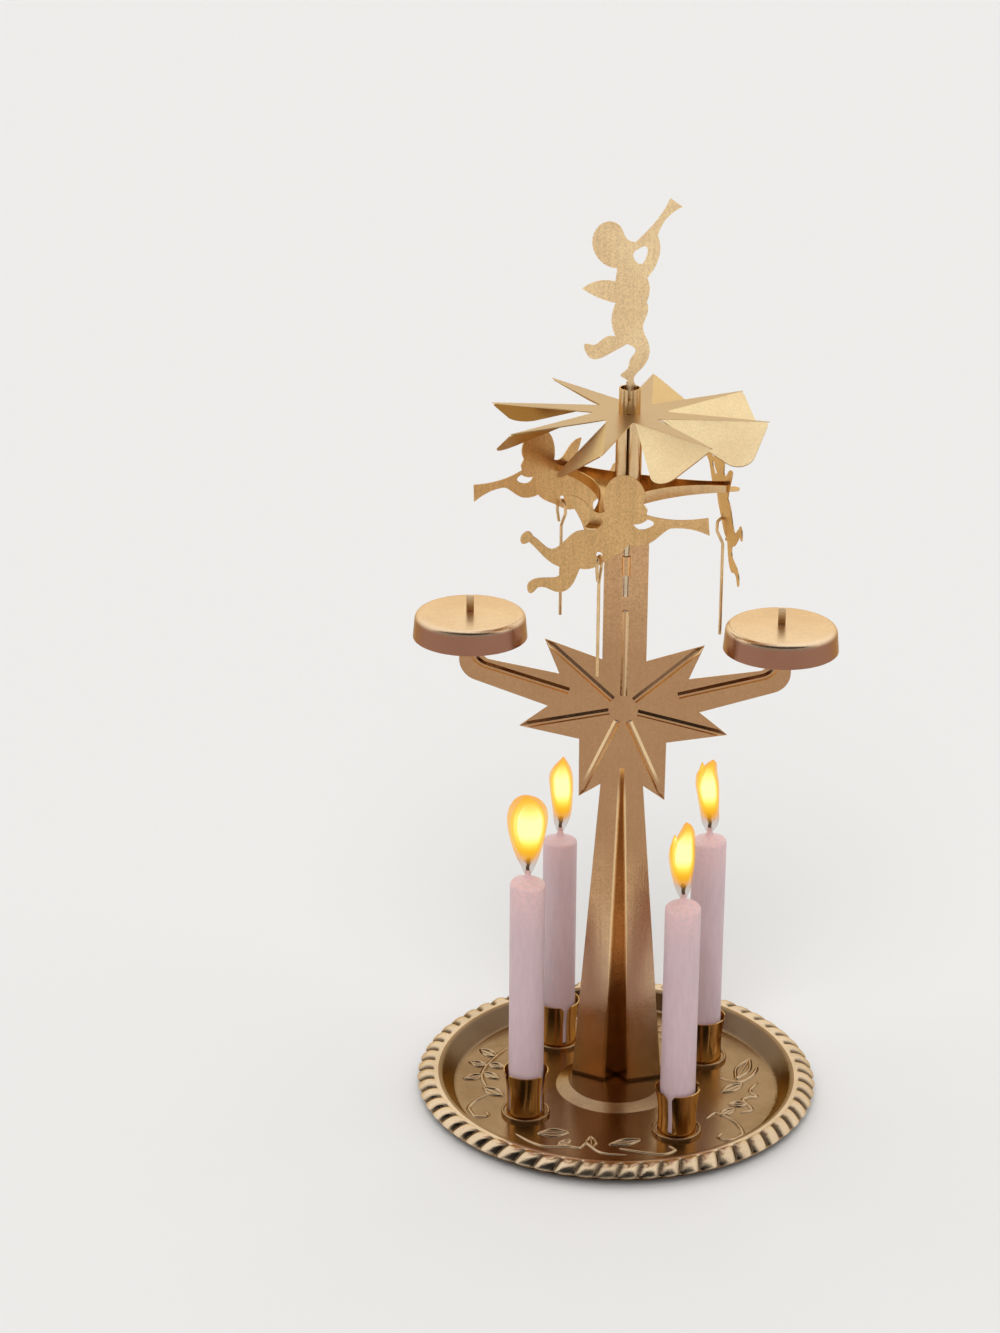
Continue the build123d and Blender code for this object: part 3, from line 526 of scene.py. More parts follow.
# A duller painted reflection of the ceiling covers the fan's level parts.
tinted(fan_brass, level_part_reflection, (0.62, 0.49, 0.36), 0.8)
angel_brass = brass("angel_brass", (0.70, 0.435, 0.19), (0.59, 0.35, 0.145), 0.28, 0.08, speckle=0.34)
top_angel_brass = brass("top_angel_brass", (0.96, 0.70, 0.40), (0.84, 0.58, 0.31), 0.28, 0.08, speckle=0.3)
bell_brass = brass("bell_brass", (0.93, 0.71, 0.47), (0.81, 0.58, 0.38), 0.185, 0.08, speckle=0.12, lines=0.0)
# Painted shade darkens the bells' skirts below their lit tops.
tinted(bell_brass, bell_skirt_shade, (0.26, 0.092, 0.056), 0.88)
wire_brass = brass(
    "wire_brass", (0.76, 0.52, 0.27), (0.52, 0.33, 0.16), 0.17, 0.10,
    clouds=WIRE_CLOUDS, lines=0.2, bump=0.005,
)
needle_steel = brass(
    "needle_steel", (0.70, 0.58, 0.41), (0.50, 0.39, 0.26), 0.17, 0.10, clouds=WIRE_CLOUDS, bump=0.005
)
print("fan finish:", len(fan_brass.node_tree.nodes), "nodes")

# %% Finishes on the CAD nodes
DRESS = {
    "base_tray": tray_brass,
    "cup_rivets": tray_brass,
    "stand_post": stand_brass,
    "pivot_needle": needle_steel,
    "rotor_hub": rotor_brass,
    "pivot_bearing": rotor_brass,
    "fan_wheel": fan_brass,
    "top_angel": top_angel_brass,
    **{f"candle_cup_{k}": cup_brass for k in range(1, 5)},
    **{f"flying_angel_{k}": angel_brass for k in range(1, 4)},
    **{f"striker_{k}": wire_brass for k in range(1, 4)},
    **{f"bell_{side}": bell_brass for side in ("left", "right")},
}
for node_name, finish in DRESS.items():
    nodes[node_name].data.materials.clear()
    nodes[node_name].data.materials.append(finish)
print("brass finishes on", len(DRESS), "CAD nodes")

# %% [markdown]
# ## From a grid of points to a piece
# Every new piece below is one or more grids of points. A grid's rows are sections and its columns run round
# each section. Where a direction closes on itself, the last row or column joins the first, and a row that
# shrinks to one point closes an end. One helper turns such grids into a mesh, and one hands the piece to the
# body it rides on.

# %% Mesh helpers
MERGE_DISTANCE = 2e-7


def quads_of(grid, around, along, first):
    """The four corner numbers of each cell: (i, j), (i, j+1), (i+1, j+1), (i+1, j), wrapped where closed."""
    rows, columns = grid.shape[:2]
    i, j = np.meshgrid(np.arange(rows - (not along)), np.arange(columns - (not around)), indexing="ij")
    below, beside = (i + 1) % rows, (j + 1) % columns
    cells = [i * columns + j, i * columns + beside, below * columns + beside, below * columns + j]
    return first + np.stack(cells, axis=-1).reshape(-1, 4)


def solid(name, grids, around=True, along=False, sharp=40.0, **paint):
    """One mesh from closed grids in mm, with values painted on its points: doubles merged, faces outwards."""
    counts = np.cumsum([0] + [grid.shape[0] * grid.shape[1] for grid in grids])
    points = np.concatenate([grid.reshape(-1, 3) for grid in grids]) * MM
    faces = np.concatenate([quads_of(grid, around, along, first) for grid, first in zip(grids, counts)])
    mesh = bpy.data.meshes.new(name)
    mesh.from_pydata(points.tolist(), [], faces.tolist())
    for label, values in paint.items():
        kind, key = ("FLOAT_COLOR", "color") if values.ndim == 2 else ("FLOAT", "value")
        mesh.attributes.new(label, kind, "POINT").data.foreach_set(key, values.astype(np.float32).ravel())
    shape = bmesh.new()
    shape.from_mesh(mesh)
    bmesh.ops.remove_doubles(shape, verts=shape.verts, dist=MERGE_DISTANCE)
    bmesh.ops.recalc_face_normals(shape, faces=shape.faces)
    shape.to_mesh(mesh)
    shape.free()
    mesh.polygons.foreach_set("use_smooth", np.ones(len(mesh.polygons), dtype=bool))
    mesh.set_sharp_from_angle(angle=np.radians(sharp))
    piece = bpy.data.objects.new(name, mesh)
    bpy.context.scene.collection.objects.link(piece)
    return piece


def hand_over(piece, finish, body, slot, *stands_for):
    """Gives a piece its finish and the body it rides on and hides the CAD nodes it stands for; the record
    slot is not used.
    """
    piece.data.materials.append(finish)
    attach(piece, body)
    if stands_for:
        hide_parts(*stands_for)
    print(piece.name, "faces:", len(piece.data.polygons), "rides on", body)


print("points closer than", MERGE_DISTANCE / MM, "mm merge")

# %% [markdown]
# ## The gadrooned rim
# The tray's rim is a smooth ledge and outside it a rope of sixty plump lobes, pressed from below. The CAD
# model has shallow grooves there. Here a closed ring lies on the CAD rim: its section is the ledge and then a
# half-round bead, and round the rim the bead swells into lobes that lean a little and push the outer edge out
# into scallops. Each point also keeps how deep it lies between two lobes, which sets the shade painted there.

# %% Rim of lobes
LOBES, LOBE_STEPS, BEAD_STEPS = 60, 18, 22
RIM_INNER, RIM_WIDTH = 65.8, 6.7
RIM_TOP, RIM_DROP, RIM_ARCH, RIM_SEAT = 6.8, 3.6, 1.1, 0.08
BEAD_INNER, BEAD_OUTER = (67.0, 6.66), (72.25, 4.25)
BEAD_RISE, BEAD_FLOOR, BEAD_START, BEAD_ROUND = 1.7, 0.15, 0.04, 0.75
LOBE_LEAN, LOBE_SCALLOP, LOBE_PINCH, LOBE_ROUND = 0.3, 1.2, 2.4, 0.75
# Plumpness below which a gap gets painted shade, the span to full shade, and the share of the bead where the
# shade starts
GAP_FROM, GAP_SPAN, GAP_START = 0.90, 0.42, 0.09
UNDER_INSET, UNDER_SUNK = 0.4, 0.25


def rim_level(r):
    """Height of the CAD rim's top face at a radius: a straight drop with a parabola on it."""
    across = (r - RIM_INNER) / RIM_WIDTH
    return RIM_TOP - RIM_DROP * across + 4 * RIM_ARCH * across * (1 - across)


turned = np.linspace(0, 2 * np.pi, LOBES * LOBE_STEPS, endpoint=False)[:, None]
over = np.linspace(0, 1, BEAD_STEPS)[None, :]
share = (turned * LOBES / (2 * np.pi) + LOBE_LEAN * over) % 1.0
plump = (1 - np.abs(2 * share - 1) ** LOBE_PINCH) ** LOBE_ROUND
arch = np.sin(np.pi * np.clip(BEAD_START + (1 - BEAD_START) * over, 0, 1)) ** BEAD_ROUND
bulge = BEAD_RISE * arch * (BEAD_FLOOR + (1 - BEAD_FLOOR) * plump)
run, fall = BEAD_OUTER[0] - BEAD_INNER[0], BEAD_OUTER[1] - BEAD_INNER[1]
bead_r = BEAD_INNER[0] + run * over - bulge * fall / np.hypot(run, fall) + LOBE_SCALLOP * plump * over**3
bead_z = BEAD_INNER[1] + fall * over + bulge * run / np.hypot(run, fall)
ledge = np.linspace(RIM_INNER, BEAD_INNER[0], 5)[:-1]
under = np.linspace(RIM_INNER + RIM_WIDTH - UNDER_INSET, RIM_INNER, 6)
ledge_r, under_r = (np.broadcast_to(line, (len(turned), len(line))) for line in (ledge, under))
ring_r = np.concatenate([ledge_r, bead_r, under_r], axis=1)
ring_z = np.concatenate([rim_level(ledge_r) + RIM_SEAT, bead_z, rim_level(under_r) - UNDER_SUNK], axis=1)
ring = np.stack([ring_r * np.cos(turned), ring_r * np.sin(turned), ring_z], axis=-1)
gap = np.clip((GAP_FROM - plump) / GAP_SPAN, 0, 1) * np.clip(over / GAP_START, 0, 1)
hollow = np.concatenate([0 * ledge_r, gap, 0 * under_r], axis=1)
rim = solid("rim_gadroon", [ring], around=True, along=True, sharp=75, hollow=hollow.ravel())
hand_over(rim, rim_brass_lit, "stand", "tray_brass")

# %% [markdown]
# ## The ornament pressed into the tray
# The floor of the tray has a thin raised pattern of sprigs, leaves and scrolls, worn soft by polishing. A
# raised line is a rounded section carried along a smooth path that passes through a few points, and a leaf is
# such a line closed round an almond shape with a vein down its middle. The back repeats the front vine,
# turned half way round.

# %% Raised lines
TRAY_FLOOR = 0.6
LINE_WIDTH, LINE_RISE, LINE_SUNK, LINE_REACH = 1.9, 0.6, 0.2, 57.6
LINE_TIP, HOLLOW_EDGE = 6, 3
LINE_SECTION = np.linspace(-1, 1, 11)
# Share of painted shade across a raised line: none on its crest, full at its feet and underneath
LINE_EDGE_SHADE = np.concatenate([np.abs(LINE_SECTION) ** HOLLOW_EDGE, [1, 1]])


def smooth_path(points, closed, steps=12):
    """A smooth curve: each span is the cubic through its two points with slopes set by their neighbours."""
    points = np.asarray(points, float)
    before, after = 2 * points[:1] - points[1:2], 2 * points[-1:] - points[-2:-1]
    if closed:
        before, after = points[-1:], points[:2]
    p = np.concatenate([before, points, after])
    a, b, c, d = (p[k : len(p) - 3 + k, None] for k in range(4))
    t = np.linspace(0, 1, steps, endpoint=False)[None, :, None]
    spans = 0.5 * (2 * b + (c - a) * t + (2 * a - 5 * b + 4 * c - d) * t**2 + (3 * b - a - 3 * c + d) * t**3)
    path = spans.reshape(-1, 2)
    return path if closed else np.concatenate([path, points[-1:]])


def raised_line(path, closed, width=LINE_WIDTH, rise=LINE_RISE):
    """A squared-cosine ridge along a path, its ends drawn out to points, closed below the tray's floor."""
    path = path * np.minimum(1, LINE_REACH / np.maximum(np.hypot(*path.T), 1e-6))[:, None]
    if closed:
        ahead = np.roll(path, -1, axis=0) - np.roll(path, 1, axis=0)
        taper = np.ones(len(path))
    else:
        ahead = np.gradient(path, axis=0)
        taper = np.sqrt(1 - np.abs(np.linspace(-1, 1, len(path))) ** LINE_TIP)
    ahead /= np.hypot(*ahead.T)[:, None]
    beside = np.stack([-ahead[:, 1], ahead[:, 0]], axis=1)
    sides = np.concatenate([LINE_SECTION, [1, -1]])
    heights = np.concatenate([rise * np.cos(np.pi * LINE_SECTION / 2) ** 2, [-LINE_SUNK, -LINE_SUNK]])
    flat = path[:, None] + beside[:, None] * (sides * width / 2)[None, :, None] * taper[:, None, None]
    return np.concatenate([flat, (TRAY_FLOOR + taper[:, None] * heights[None, :])[..., None]], axis=-1)


def almond(base, tip, half_width, steps=9):
    """A closed leaf outline: out along one side, back along the other, each a sine bulge off the middle."""
    base, tip = np.asarray(base, float), np.asarray(tip, float)
    t = np.linspace(0, 1, steps)
    side = np.array([base[1] - tip[1], tip[0] - base[0]]) / np.hypot(*(tip - base))
    middle, bulge = base + (tip - base) * t[:, None], side * half_width * np.sin(np.pi * t)[:, None]
    return np.concatenate([(middle + bulge)[:-1], (middle - bulge)[:0:-1]])


print("raised lines", LINE_WIDTH, "mm wide and", LINE_RISE, "mm high")

# %% Sprigs, leaves and scrolls
SIDE_LINES = [
    [(-42.5, 23.5), (-46, 16), (-49, 8), (-50, 0), (-47.5, -7)],
    [(-45.5, -12.5), (-50.5, -19), (-52, -25.2), (-49.1, -29.6), (-44.7, -28.6), (-45.6, -25.6)],
    [(38.2, 9.6), (42, 7.2), (46, 6.6), (50.2, 12), (52.3, 19)],
    [(52.6, 7.4), (49.9, 0.4), (52.2, -3.4), (47.6, -6.2), (50.8, -13.2), (46.6, -16.4)],
    [(34.6, -21.8), (37.9, -17.4), (43.3, -20.8), (46.6, -25.8)]
    + [(48, -31.6), (43.8, -36.2), (39.6, -34.6), (41, -31)],
]
SIDE_LEAVES = [
    ((-46, 15.5), (-52.5, 20.5), 1.9),
    ((-49, 8), (-55.5, 10.5), 1.7),
    ((-48.6, 10), (-42, 7.5), 1.6),
    ((-49.9, 1), (-56, -2.5), 1.7),
    ((-49.6, 3), (-43.6, -1), 1.6),
    ((-48, -8.5), (-40.8, -13.4), 2.2),
    ((44.5, 9), (48.8, 24), 2.4),
    ((46.6, 5), (39.8, -1.6), 1.9),
    ((49, -9.5), (42.6, -10.4), 1.6),
    ((39.6, -18.6), (44.4, -13.6), 1.5),
]
FRONT_LINES = [
    [(-33.5, -40), (-27, -45.5), (-21.2, -48), (-14.2, -47)]
    + [(-9.7, -47.6), (-7.2, -44.2), (-1.5, -50), (8, -50.6)],
    [(4.4, -46.4), (13, -48), (20.6, -48.6), (24.4, -45.2), (22.2, -42.6)],
]
FRONT_LEAVES = [
    ((-25, -39), (-14.4, -37.4), 2.4),
    ((1.2, -44), (11.8, -39.6), 1.9),
    ((-5, -46.6), (-6.2, -39.4), 1.6),
    ((-17.6, -47.6), (-13.4, -42.4), 1.3),
]
LEAF_WIDTH, VEIN_WIDTH, VEIN_RISE = 1.5, 1.1, 0.4

turned_lines = [[(-x, -y) for x, y in line] for line in FRONT_LINES]
turned_leaves = [((-a[0], -a[1]), (-b[0], -b[1]), w) for a, b, w in FRONT_LEAVES]
ridges = [raised_line(smooth_path(line, False), False) for line in SIDE_LINES + FRONT_LINES + turned_lines]
outlines, veins = [], []
for base, tip, half in SIDE_LEAVES + FRONT_LEAVES + turned_leaves:
    outline = smooth_path(almond(base, tip, half), True, steps=4)
    vein = smooth_path([base, np.add(base, tip) / 2, tip], False)
    outlines.append(raised_line(outline, True, width=LEAF_WIDTH))
    veins.append(raised_line(vein, False, width=VEIN_WIDTH, rise=VEIN_RISE))
for name, grids, ends_join in (("tray_relief", ridges + veins, False), ("tray_leaves", outlines, True)):
    hollow = np.tile(LINE_EDGE_SHADE, sum(len(grid) for grid in grids))
    raised = solid(name, grids, along=ends_join, sharp=80, hollow=hollow)
    hand_over(raised, relief_brass_lit, "stand", "tray_brass")

# %% [markdown]
# ## The ends of the star's ribs
# The press draws each rib of the star out to the tip of its ray, and the rib of each arm round the bend
# towards its bell. The CAD ribs stop short of both. Each missing stretch starts where a CAD rib ends, with
# the same section, a ridge with a narrow flat crown. On a ray it thins to a point; on an arm it follows an
# arc that turns upright.

# %% Rib ends
STAR_BELOW_TOP = 64.5
RAY_ANGLES, RAY_RIB_END, RAY_POINT, POINT_SHARE = (42.0, -12.5, -66.0), 34.5, 37.3, 0.02
ARM_RIB_START, ARM_RIB_END = np.array([19.3, 6.0]), np.array([48.5, 14.4])
ARM_BEND, ARM_TOP = 8.0, 25.0
RIB_ACROSS = np.array([-1.25, -1.25, -0.35, 0.35, 1.25, 1.25])
RIB_FORWARD = np.array([-0.1, 0.0, 0.9, 0.9, 0.0, -0.1])
SHEET_FRONT = 0.3
star_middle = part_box("stand_post")[1][2] / MM - STAR_BELOW_TOP


def rib_grid(path, taper, side):
    """A ridge along a path in the sheet's plane, its width and height scaled by the taper, ends closed."""
    ahead = np.gradient(path, axis=0)
    ahead /= np.hypot(*ahead.T)[:, None]
    across = RIB_ACROSS * taper[:, None]
    x = side * (path[:, :1] - ahead[:, 1:] * across)
    z = star_middle + path[:, 1:] + ahead[:, :1] * across
    y = -SHEET_FRONT - np.where(RIB_FORWARD > 0, RIB_FORWARD * taper[:, None], RIB_FORWARD)
    ridge = np.stack([x, y, z], axis=-1)
    caps = ridge.mean(axis=1, keepdims=True) + 0 * ridge
    return np.concatenate([caps[:1], ridge, caps[-1:]])


along_arm = (ARM_RIB_END - ARM_RIB_START) / np.hypot(*(ARM_RIB_END - ARM_RIB_START))
bend_turn = np.linspace(np.arctan2(along_arm[1], along_arm[0]), np.pi / 2, 24)
bend_middle = ARM_RIB_END + ARM_BEND * np.array([-along_arm[1], along_arm[0]])
arc = bend_middle + ARM_BEND * np.stack([np.sin(bend_turn), -np.cos(bend_turn)], axis=1)
arm_path = np.concatenate([arc, [(arc[-1, 0], ARM_TOP)]])
ray_reach = np.linspace(RAY_RIB_END, RAY_POINT, 5)[:, None]
ray_taper = np.linspace(1, POINT_SHARE, 5)
rib_ends = []
for side in (1, -1):
    rib_ends.append(rib_grid(arm_path, np.ones(len(arm_path)), side))
    for angle in np.radians(RAY_ANGLES):
        rib_ends.append(rib_grid(ray_reach * np.array([np.cos(angle), np.sin(angle)]), ray_taper, side))
hand_over(solid("star_rib_ends", rib_ends), stand_brass, "stand", "stand_brass")

# %% [markdown]
# ## Candles
# The candles are thin, poured, pale pink ones. Their tops have burned down evenly: the edge is rounded off
# and the wax climbs a little way up the wick. Each is a turned profile, made slightly uneven above the cup by
# a few slow waves, with wax that lets a little light through.

# %% Wax finish
WAX = (0.65, 0.48, 0.50, 1)
WAX_FLAME_LIT = (0.86, 0.56, 0.53, 1)
WAX_DEEP = (0.56, 0.40, 0.42, 1)
STREAK_STRETCH, STREAK_AMOUNT, STREAK_BUMP = (700, 700, 120), 0.45, 0.04
MOTTLE_SCALE, MOTTLE_EDGES = 900.0, (0.35, 0.65)
FLAME_LIT_HEIGHT, FLAME_LIT_LEAST, FLAME_LIT_MOTTLE = (0.070, 0.098), 0.3, 0.5
WAX_ROUGHNESS, WAX_SPREAD = 0.40, 0.12
WAX_DEPTH, WAX_REACH = 0.25, (0.0030, 0.0016, 0.0014)

wax = bpy.data.materials.new("wax")
wax.use_nodes = True
wax_tree = wax.node_tree
wax_shader = wax_tree.nodes["Principled BSDF"]
wax_place = add_node(wax_tree, "ShaderNodeTexCoord").outputs["Object"]
wax_stretch = add_node(wax_tree, "ShaderNodeMapping", Scale=STREAK_STRETCH)
wax_tree.links.new(wax_place, wax_stretch.inputs["Vector"])
streaks = ramp(wax_tree, noise(wax_tree, wax_stretch.outputs[0], 1.0, detail=4.0), *FINE_EDGES)
mottle = ramp(wax_tree, noise(wax_tree, wax_place, MOTTLE_SCALE, detail=3.0), *MOTTLE_EDGES)
body_tint = mix_colours(wax_tree, math(wax_tree, "MULTIPLY", streaks, STREAK_AMOUNT), WAX, WAX_DEEP)
# The wax near the top is painted warm in mottled patches, as if lit by the flame.
flame_lit_height = ramp(wax_tree, point_at(wax_tree)["Z"], *FLAME_LIT_HEIGHT)
flame_lit_share = math(wax_tree, "MULTIPLY_ADD", mottle, FLAME_LIT_MOTTLE, FLAME_LIT_LEAST)
painted_flame_light = math(wax_tree, "MULTIPLY", flame_lit_height, flame_lit_share)
wax_tree.links.new(mix_colours(wax_tree, painted_flame_light, body_tint, WAX_FLAME_LIT), wax_shader.inputs["Base Color"])
wax_rough = math(wax_tree, "MULTIPLY_ADD", mottle, WAX_SPREAD, WAX_ROUGHNESS)
wax_tree.links.new(wax_rough, wax_shader.inputs["Roughness"])
wax_shader.inputs["Subsurface Weight"].default_value = WAX_DEPTH
wax_shader.inputs["Subsurface Radius"].default_value = WAX_REACH
wax_shader.inputs["Subsurface Scale"].default_value = 1.0
wax_bump = add_node(wax_tree, "ShaderNodeBump", Strength=1.0, Distance=STREAK_BUMP * MM)
wax_tree.links.new(streaks, wax_bump.inputs["Height"])
wax_tree.links.new(wax_bump.outputs["Normal"], wax_shader.inputs["Normal"])
print("wax finish:", len(wax_tree.nodes), "nodes")

# %% Candle bodies
CANDLE_RADIUS, NIPPLE, FOOT_BEVEL, SIDE_STEPS = 6.35, 1.6, 0.3, 40
EDGE_ROUND, TOP_SLOPE, SLOPE_CURVE = 1.5, 1.0, 1.5
NECK_RISE, NECK_RADIUS, NECK_FOOT, NECK_CURVE = 3.6, 0.85, 2.2, 1.6
# Unevenness of the side: where it starts, span to its full size, share of the radius, share of the waves
UNEVEN_FROM, UNEVEN_SPAN, UNEVEN, WAVE_SHARE, WAVE_LENGTHS = 24, 30, 0.006, 0.5, (17, 9)
# Droop of the top edge: its size, the depth below the top and the radius over which it fades
DROOP, DROOP_DEPTH, DROOP_RADIUS = 0.35, 3, 4
AROUND = np.linspace(0, 2 * np.pi, 72, endpoint=False)


def candle_at(number):
    """Axis, foot and top of the candle's straight body, in mm, read from its CAD node."""
    low, high = (np.array(corner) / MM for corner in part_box(f"candle_{number}"))
    return (low[:2] + high[:2]) / 2, low[2], high[2] - NIPPLE


def candle_grid(number):
    """A turned profile: straight side, quarter-round edge, shallow slope, neck thinning as a square root."""
    axis, foot, top = candle_at(number)
    bend = np.linspace(0, np.pi / 2, 9)
    slope, climb = np.linspace(0, 1, 8)[1:], np.linspace(0, 1, 10)[1:]
    inner, shoulder = CANDLE_RADIUS - EDGE_ROUND, top + TOP_SLOPE
    profile = (
        ([0, CANDLE_RADIUS - FOOT_BEVEL, CANDLE_RADIUS], [foot, foot, foot + FOOT_BEVEL]),
        (np.full(SIDE_STEPS, CANDLE_RADIUS), np.linspace(foot + 1, top - EDGE_ROUND, SIDE_STEPS)),
        (inner + EDGE_ROUND * np.cos(bend), top - EDGE_ROUND * (1 - np.sin(bend))),
        (inner + (NECK_FOOT - inner) * slope, top + TOP_SLOPE * slope**SLOPE_CURVE),
        (NECK_FOOT + (NECK_RADIUS - NECK_FOOT) * np.sqrt(climb), shoulder + NECK_RISE * climb**NECK_CURVE),
        ([0], [shoulder + NECK_RISE]),
    )
    r, z = (np.concatenate(column)[:, None] for column in zip(*profile))
    uneven = UNEVEN * np.clip((z - UNEVEN_FROM) / UNEVEN_SPAN, 0, 1)
    long_wave, short_wave = WAVE_LENGTHS
    waves = np.sin(2 * AROUND + number) * np.sin(z / long_wave + number)
    waves = waves + np.sin(3 * AROUND - 2 * number) * np.sin(z / short_wave)
    near_top = np.clip((z - top + DROOP_DEPTH) / DROOP_DEPTH, 0, 1) * np.clip(r / DROOP_RADIUS, 0, 1)
    droop = DROOP * np.sin(AROUND + 1.7 * number) * near_top
    r = r * (1 - uneven * (1 + WAVE_SHARE * waves))
    return np.stack([axis[0] + r * np.cos(AROUND), axis[1] + r * np.sin(AROUND), z + droop], axis=-1)


for k in range(1, 5):
    candle = solid(f"wax_candle_{k}", [candle_grid(k)], sharp=60)
    hand_over(candle, wax, f"candle_{k}", "wax", f"candle_{k}")

# %% [markdown]
# ## Wicks
# A burning wick is a charred braid that bends over at the top and thickens into a small crust. It is a round
# section carried along a gently bent path, its surface roughened by two crossing waves as a braid's strands
# would.

# %% Charred finish
CHAR_DARK, CHAR_PALE = (0.008, 0.006, 0.005, 1), (0.05, 0.03, 0.02, 1)
CRUST_SCALE, CRUST_EDGES, CRUST_BUMP = 2200.0, (0.4, 0.7), 0.15
CHAR_ROUGHNESS, CHAR_SPREAD = 0.75, 0.2

char = bpy.data.materials.new("charred_wick")
char.use_nodes = True
char_tree = char.node_tree
char_shader = char_tree.nodes["Principled BSDF"]
char_place = add_node(char_tree, "ShaderNodeTexCoord").outputs["Object"]
crust = ramp(char_tree, noise(char_tree, char_place, CRUST_SCALE, detail=4.0), *CRUST_EDGES)
char_tree.links.new(mix_colours(char_tree, crust, CHAR_DARK, CHAR_PALE), char_shader.inputs["Base Color"])
char_rough = math(char_tree, "MULTIPLY_ADD", crust, CHAR_SPREAD, CHAR_ROUGHNESS)
char_tree.links.new(char_rough, char_shader.inputs["Roughness"])
char_bump = add_node(char_tree, "ShaderNodeBump", Strength=1.0, Distance=CRUST_BUMP * MM)
char_tree.links.new(crust, char_bump.inputs["Height"])
char_tree.links.new(char_bump.outputs["Normal"], char_shader.inputs["Normal"])
print("charred finish:", len(char_tree.nodes), "nodes")

# %% Wicks
WICK_RISE = {1: 6.4, 2: 5.4, 3: 5.9, 4: 4.8}
WICK_LEAN = {1: (-0.5, 0.3), 2: (0.3, -0.3), 3: (0.5, -0.5), 4: (-0.3, -0.4)}
WICK_RADIUS, WICK_SUNK, WICK_TIP, TIP_SHARE = 0.62, 6.0, 0.6, 0.04
BRAID_DEPTH, BRAID_STRANDS, BRAID_PITCH = 0.10, 4, 3.2
# How much the crust swells, and the shares of the length where it lies and over which it fades
CRUST_SWELL, CRUST_AT, CRUST_SPAN = 0.45, 0.88, 0.1
WICK_WAVE, WICK_TURNS = 0.25, 2.2


def wick_grid(number):
    """A round section on a path that bends as the cube of its height, swollen near the top, ends closed."""
    axis, _, top = candle_at(number)
    neck = top + TOP_SLOPE + NECK_RISE
    t = np.linspace(0, 1, 40)[:, None]
    z = neck - WICK_SUNK + (WICK_SUNK + WICK_RISE[number] - WICK_TIP) * t
    out = np.clip((z - neck + 1) / WICK_RISE[number], 0, 1)
    strands, pitch = BRAID_STRANDS * AROUND, BRAID_PITCH * z
    braid = 1 + BRAID_DEPTH * np.sin(strands + pitch) * np.sin(strands - pitch)
    swell = 1 + CRUST_SWELL * np.exp(-(((t - CRUST_AT) / CRUST_SPAN) ** 2))
    r = WICK_RADIUS * braid * swell * np.sqrt(np.clip((1 - t) / TIP_SHARE, 0, 1))
    lean_x, lean_y = WICK_LEAN[number]
    x = axis[0] + lean_x * out**3 + WICK_WAVE * np.sin(WICK_TURNS * z) * out * (1 - out) * 2
    y = axis[1] + lean_y * out**3
    side = np.stack([x + r * np.cos(AROUND), y + r * np.sin(AROUND), z + 0 * AROUND], axis=-1)
    foot = side[:1].mean(axis=1, keepdims=True) + 0 * side[:1]
    return np.concatenate([foot, side])


for k in range(1, 5):
    wick = solid(f"charred_wick_{k}", [wick_grid(k)], sharp=70)
    hand_over(wick, char, f"candle_{k}", "wick", f"wick_{k}")

# %% [markdown]
# ## Flames
# Each flame is four shells of glowing gas, one inside the other: a thin orange sheath, a yellow body, a paler
# halo and a bright heart. Seen together they are brightest in the middle and orange at the edge from any
# side. Near the wick the gas is dim and clear. Colour and density depend only on the height and the shell, so
# they are worked out with the points and stored on them.

# %% Flame finish
FLAME_GLOW = 6.0

gas = bpy.data.materials.new("flame")
gas.use_nodes = True
gas_tree = gas.node_tree
gas_shader = gas_tree.nodes["Principled BSDF"]
glow = add_node(gas_tree, "ShaderNodeAttribute", {"attribute_name": "glow"})
gas_shader.inputs["Base Color"].default_value = (0, 0, 0, 1)
gas_shader.inputs["Specular IOR Level"].default_value = 0.0
gas_shader.inputs["Roughness"].default_value = 1.0
gas_shader.inputs["Emission Strength"].default_value = FLAME_GLOW
gas_tree.links.new(glow.outputs["Color"], gas_shader.inputs["Emission Color"])
gas_tree.links.new(glow.outputs["Alpha"], gas_shader.inputs["Alpha"])
print("flame glow:", FLAME_GLOW)

# %% Flame colours
# Height share, red, green, blue and density of the four shells, from the wick up
SHEATH = np.array(
    [
        (0.00, 0.045, 0.028, 0.018, 0.16),
        (0.14, 0.055, 0.030, 0.016, 0.24),
        (0.24, 0.150, 0.062, 0.004, 0.50),
        (0.40, 0.167, 0.085, 0.004, 0.50),
        (0.80, 0.167, 0.080, 0.004, 0.52),
        (1.00, 0.160, 0.066, 0.003, 0.70),
    ]
)
BODY = np.array(
    [
        (0.12, 0.070, 0.036, 0.014, 0.10),
        (0.22, 0.150, 0.066, 0.003, 0.42),
        (0.32, 0.167, 0.092, 0.004, 0.60),
        (0.40, 0.167, 0.122, 0.010, 0.55),
        (0.52, 0.167, 0.142, 0.022, 0.50),
        (0.97, 0.167, 0.128, 0.015, 0.55),
    ]
)
HALO = np.array(
    [
        (0.18, 0.150, 0.070, 0.004, 0.15),
        (0.30, 0.165, 0.086, 0.004, 0.55),
        (0.40, 0.240, 0.185, 0.030, 0.50),
        (0.52, 0.390, 0.350, 0.110, 0.50),
        (0.72, 0.420, 0.380, 0.130, 0.50),
        (0.93, 0.200, 0.160, 0.028, 0.55),
    ]
)
HEART = np.array(
    [
        (0.24, 0.165, 0.080, 0.004, 0.30),
        (0.32, 0.170, 0.092, 0.005, 0.90),
        (0.41, 0.460, 0.390, 0.080, 1.00),
        (0.52, 1.000, 0.980, 0.480, 1.00),
        (0.70, 1.000, 0.980, 0.540, 1.00),
        (0.88, 0.420, 0.380, 0.120, 1.00),
    ]
)
